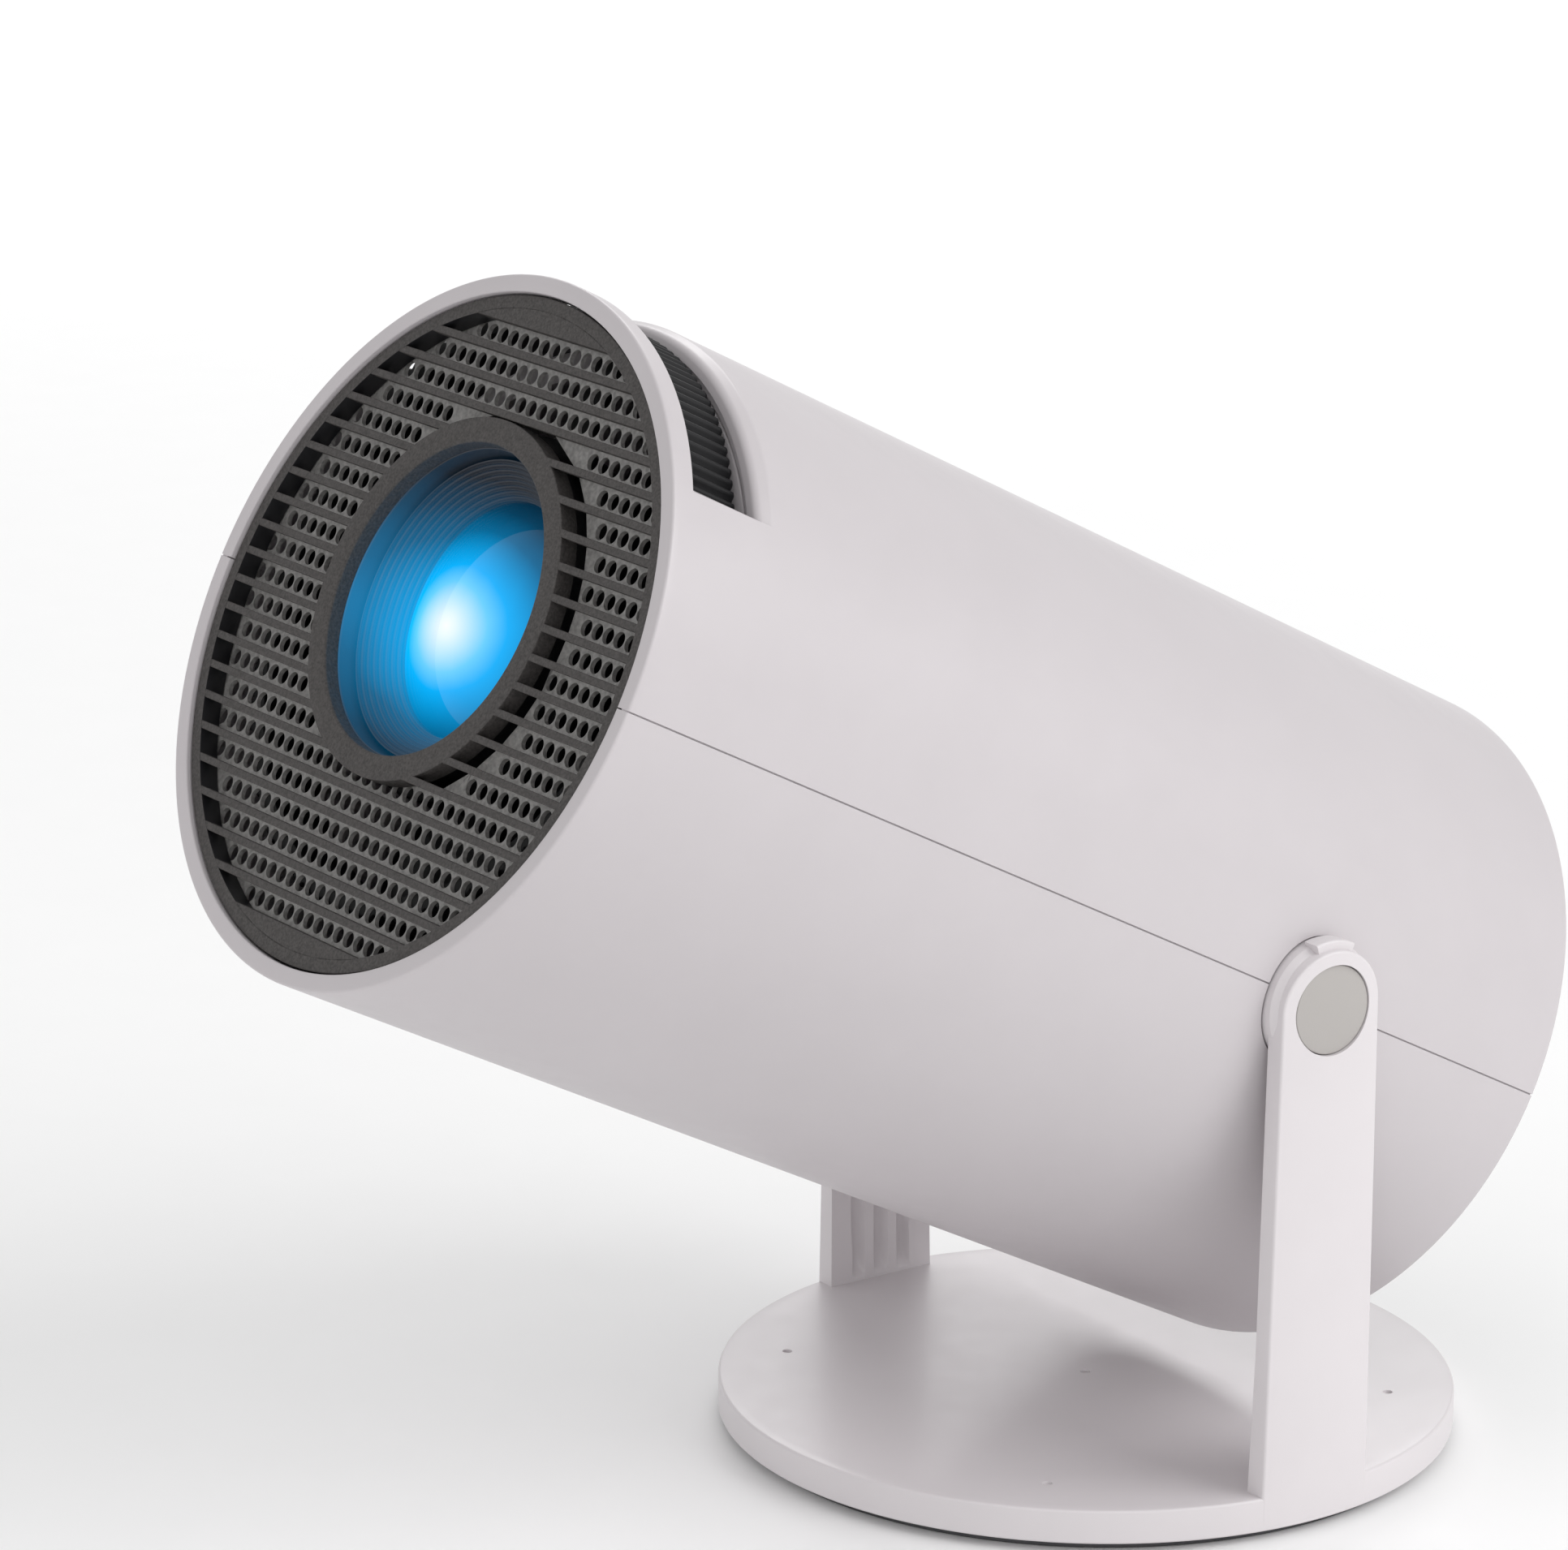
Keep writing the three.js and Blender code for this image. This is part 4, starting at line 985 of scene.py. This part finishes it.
def arm_solids(sizes, side):
    """One arm, right (side 1) or left (side -1).

    p runs towards the rear and q upwards from the tilt axis. The outer face lies on the disc's own cylinder
    and falls in a quarter circle along its border. The inner face is flat, thicker at the foot, and has
    three half-round grooves. The upper part is a grid from the cap's recess to the border, the lower part
    a grid that follows the taper.
    """
    top_half, foot_half = sizes.arm_half_top, sizes.arm_half_foot
    foot_q = BASE_LOW + 0.8 * MM - HINGE[2]
    base_q = sizes.base_top - HINGE[2]
    split_q = -12 * MM
    finer_q = base_q + 8 * MM  # the rows lie closer together below this
    soft = 0.35 * MM
    recess = CAP_R + 0.12 * MM
    proud = BASE_R + 0.02 * MM
    draft, draft_top = 0.6 * MM, 28 * MM  # the inner face is this much thicker at the foot, up to a height
    groove_pitch, groove_half, groove_deep = 4.4 * MM, 1.2 * MM, 1.0 * MM
    groove_low, groove_high = sizes.base_top + 0.9 * MM, 66 * MM
    groove_rise, groove_fade = 4.5 * MM, 4 * MM

    def half_width(q):
        return top_half + (foot_half - top_half) * np.clip(q / base_q, 0, 1)

    def border_distance(p, q):
        return np.where(q >= 0, top_half - np.hypot(p, np.maximum(q, 0)), half_width(q) - np.abs(p))

    def outside(p, q):
        return np.sqrt(proud**2 - (p + HINGE[1]) ** 2) - fall(np.maximum(border_distance(p, q), 0), soft)

    def inside(p, q):
        height = q + HINGE[2]
        thicker = draft * np.clip((draft_top - height) / (draft_top - sizes.base_top), 0, 1)
        offsets = (p - groove_pitch * np.array([[-1], [0], [1]])) / groove_half
        groove = np.sqrt(np.maximum(1 - offsets**2, 0)).max(axis=0)
        low_end = np.sqrt(1 - (1 - np.clip((height - groove_low) / groove_rise, 0, 1)) ** 2)
        high_end = np.clip((groove_high - height) / groove_fade, 0, 1)
        return sizes.arm_inside - thicker + (groove_deep + thicker) * groove * low_end * high_end

    spread = np.concatenate([1 - near_edge(soft)[1:] / top_half, np.linspace(0, 0.955, 34)[1:]])
    s = np.unique(np.concatenate([spread, -spread, [0.0, 1.0, -1.0]]))
    along = np.linspace(0, math.pi, 49)
    split_half = float(half_width(np.array(split_q)))
    side_q = np.linspace(0, split_q, 12)[1:-1]
    border_p = np.concatenate([top_half * np.cos(along), -half_width(side_q), s * split_half,
                               half_width(side_q[::-1])])
    border_q = np.concatenate([top_half * np.sin(along), side_q, 0 * s + split_q, side_q[::-1]])
    direction = np.arctan2(border_q, border_p)
    circle_p, circle_q = recess * np.cos(direction), recess * np.sin(direction)
    gap = np.hypot(border_p - circle_p, border_q - circle_q)
    offsets = np.concatenate([near_edge(soft), [soft * 1.6]])[:, None] / gap[None]
    shares = np.concatenate([1 - offsets, np.linspace(1, 0, 7)[1:, None] * (1 - offsets[-1])[None]])
    p = circle_p + (border_p - circle_p) * shares
    q = circle_q + (border_q - circle_q) * shares
    upper_quads = grid_quads(*p.shape, close_columns=True).reshape(-1, 4)
    rows = np.concatenate([np.linspace(split_q, finer_q, 40), np.linspace(finer_q, foot_q, 26)[1:]])
    lower_q = rows[:, None] + 0 * s[None]
    lower_p = s[None] * half_width(rows)[:, None]
    lower_quads = grid_quads(*lower_q.shape).reshape(-1, 4)[:, ::-1] + p.size
    p, q = np.concatenate([p.ravel(), lower_p.ravel()]), np.concatenate([q.ravel(), lower_q.ravel()])
    outer = np.stack([side * outside(p, q), p + HINGE[1], q + HINGE[2]], axis=-1)
    inner = np.stack([side * inside(p, q), p + HINGE[1], q + HINGE[2]], axis=-1)
    blade = sheet_pair(outer, inner, np.concatenate([upper_quads, lower_quads]))
    boss = outline_mm([(3.7, 50.5, 0), (9.5, 50.5, 0.15), (9.5, 53.2, 0.4), (8.8, 54.4, 0), (7.4, 54.4, 0),
                       (7.4, 53.0, 0), (3.7, 53.0, 0)])
    lug = outline_mm([(8.3, 52.3, 0), (10.15, 52.3, 0.1), (10.15, 55.2, 0.35), (8.3, 55.2, 0)])
    lug_from, lug_sweep = math.radians(64), math.radians(41)
    return [blade, turned_across(boss, side, 128), turned_across(lug, side, 32, lug_from, lug_sweep)]


class PROJECTOR_OT_stand(bpy.types.Operator):
    """Base disc with its two arms, the foot pad and the pivot caps"""

    bl_idname = "projector.stand"
    bl_label = "Stand"

    def execute(self, context):
        sizes = context.scene.projector_sizes
        solids = disc_solids(sizes) + arm_solids(sizes, 1) + arm_solids(sizes, -1)
        make_piece("stand_fine", solids, FINISHES["stand"], "stand", ["stand_frame"])
        pad_r, pad_top = PAD_HIGH.x, PAD_HIGH.z
        deep, soft = 0.5 * MM, 0.2 * MM
        ring_in, ring_out = pad_r - 6 * MM, pad_r - 4.5 * MM
        pad = outline([(0.0, 0.0, 0), (ring_in, 0.0, soft), (ring_in, deep, soft), (ring_out, deep, soft),
                       (ring_out, 0.0, soft), (pad_r, 0.0, 0.4 * MM), (pad_r, pad_top, 0.1 * MM),
                       (0.0, pad_top, 0)])
        make_piece("foot_pad_fine", [turned_upright(pad)], FINISHES["rubber_pad"], "stand", ["foot_pad"])
        for label, side in (("right", 1), ("left", -1)):
            cap = outline([(0.0, CAP_LOW.x, 0), (CAP_R, CAP_LOW.x, 0), (CAP_R, CAP_HIGH.x, 0.18 * MM),
                           (0.0, CAP_HIGH.x, 0)])
            make_piece(f"pivot_cap_{label}_fine", [turned_across(cap, side)], FINISHES["pivot_cap"], "stand",
                       [f"pivot_cap_{label}"])
        return {"FINISHED"}


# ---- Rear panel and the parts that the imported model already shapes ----
class PROJECTOR_OT_rear(bpy.types.Operator):
    """Rear panel, sockets, inlet and button with softened edges"""

    bl_idname = "projector.rear"
    bl_label = "Rear panel"

    def execute(self, context):
        edges = {
            "rear_panel": ("head", 0.18), "hdmi_socket": ("head", 0.08), "usb_socket": ("head", 0.08),
            "audio_jack": ("head", 0.12), "mains_inlet": ("head", 0.2), "remote_window": ("head", 0.15),
            "power_button": ("power_button", 0.2),
        }
        slots = {row["node"]: row["material_slot"] for row in frame["record"]["subparts"]}
        for node, (body, width) in edges.items():
            softened_copy(node, f"{node}_fine", FINISHES[slots[node]], body, width * MM)
        return {"FINISHED"}


class PROJECTOR_OT_finishes(bpy.types.Operator):
    """Finishes for the pieces and for every carried-over CAD node"""

    bl_idname = "projector.finishes"
    bl_label = "Finishes"

    def execute(self, context):
        make_finishes()
        for row in frame["record"]["subparts"]:
            for material_slot in frame["nodes"][row["node"]].material_slots:
                material_slot.material = FINISHES[row["material_slot"]]
        return {"FINISHED"}


# ---- Stage ----
VIEW = {"turn": math.radians(54.362), "down": math.radians(15.736), "roll": math.radians(0.514)}
CAMERA_AWAY = 0.96296
CAMERA_SHIFT = (-0.046183, 0.021082)  # across and up from the hinge, square to the view
FOCAL_LENGTH = 147.23  # millimetres
SENSOR_WIDTH = 36.0

WORLD_LIGHT = 0.68
OBJECT_MIDDLE = (0.0, -0.03, 0.08)
LIGHTS = (
    ("key", (0.95, 0.6, 0.85), 1.1, 9.1, OBJECT_MIDDLE),
    ("low_fill", (1.3, -1.0, 0.4), 1.1, 2.2, OBJECT_MIDDLE),
    ("front_fill", (0.3, -1.8, 0.9), 1.1, 1.7, OBJECT_MIDDLE),
    ("backdrop", (-2.2, 1.6, 1.5), 2.0, 36.0, (-2.2, 1.6, 0.0)),
)  # name, place, width in metres, power in watts, and the point that it is aimed at


class PROJECTOR_OT_stage(bpy.types.Operator):
    """Floor, lights and camera"""

    bl_idname = "projector.stage"
    bl_label = "Stage"

    def execute(self, context):
        scene = context.scene
        floor_mesh = bpy.data.meshes.new("floor")
        reach = 6.0
        corners = [(-reach, -reach, 0), (reach, -reach, 0), (reach, reach, 0), (-reach, reach, 0)]
        floor_mesh.from_pydata(corners, [], [(0, 1, 2, 3)])
        floor = bpy.data.objects.new("floor", floor_mesh)
        scene.collection.objects.link(floor)
        floor_mesh.materials.append(
            moulded("floor", scene.projector_colours.floor, 0.75, 40.0, 100, 0.004, 0.02)
        )
        for row in LIGHTS:
            self.light(scene, *row)
        world = bpy.data.worlds.new("studio")
        world.use_nodes = True
        world.node_tree.nodes["Background"].inputs["Color"].default_value = (1.0, 1.0, 1.0, 1.0)
        world.node_tree.nodes["Background"].inputs["Strength"].default_value = WORLD_LIGHT
        scene.world = world
        scene.view_settings.view_transform = "Standard"
        self.camera(scene)
        return {"FINISHED"}

    def light(self, scene, name, place, size, power, target):
        lamp = bpy.data.lights.new(name, "AREA")
        lamp.shape = "DISK"
        lamp.size = size
        lamp.energy = power
        holder = bpy.data.objects.new(name, lamp)
        scene.collection.objects.link(holder)
        holder.location = place
        holder.rotation_euler = (Vector(target) - Vector(place)).to_track_quat("-Z", "Y").to_euler()

    def camera(self, scene):
        """Looks at the hinge from out along its back direction, then shifts square to the view."""
        turn, down, roll = VIEW["turn"], VIEW["down"], VIEW["roll"]
        back = Vector((math.sin(turn) * math.cos(down), -math.cos(turn) * math.cos(down), math.sin(down)))
        level = Vector((math.cos(turn), math.sin(turn), 0.0))
        upright = back.cross(level)
        right = level * math.cos(roll) + upright * math.sin(roll)
        up = upright * math.cos(roll) - level * math.sin(roll)
        data = bpy.data.cameras.new("camera")
        data.lens = FOCAL_LENGTH
        data.sensor_width = SENSOR_WIDTH
        data.clip_start = 0.05
        data.clip_end = 50.0
        camera = bpy.data.objects.new("camera", data)
        scene.collection.objects.link(camera)
        place = Vector(HINGE) + back * CAMERA_AWAY + right * CAMERA_SHIFT[0] + up * CAMERA_SHIFT[1]
        camera.matrix_world = Matrix.Translation(place) @ Matrix((right, up, back)).transposed().to_4x4()
        scene.camera = camera


class PROJECTOR_PT_panel(bpy.types.Panel):
    """Lists the build steps in the 3D view's sidebar"""

    bl_idname = "PROJECTOR_PT_panel"
    bl_label = "Home projector"
    bl_space_type = "VIEW_3D"
    bl_region_type = "UI"
    bl_category = "Projector"

    def draw(self, context):
        for step in STEPS:
            self.layout.operator(step.bl_idname)


STEPS = (
    PROJECTOR_OT_stage,
    PROJECTOR_OT_finishes,
    PROJECTOR_OT_shells,
    PROJECTOR_OT_front,
    PROJECTOR_OT_plate,
    PROJECTOR_OT_wheel,
    PROJECTOR_OT_lens,
    PROJECTOR_OT_stand,
    PROJECTOR_OT_rear,
)
CLASSES = (ProjectorSizes, ProjectorColours, *STEPS, PROJECTOR_PT_panel)


def register():
    for cls in CLASSES:
        bpy.utils.register_class(cls)
    bpy.types.Scene.projector_sizes = bpy.props.PointerProperty(type=ProjectorSizes)
    bpy.types.Scene.projector_colours = bpy.props.PointerProperty(type=ProjectorColours)


def unregister():
    del bpy.types.Scene.projector_colours
    del bpy.types.Scene.projector_sizes
    for cls in reversed(CLASSES):
        bpy.utils.unregister_class(cls)


def main():
    register()
    for step in STEPS:
        group, name = step.bl_idname.split(".")
        getattr(getattr(bpy.ops, group), name)()


if __name__ == "__main__":
    main()
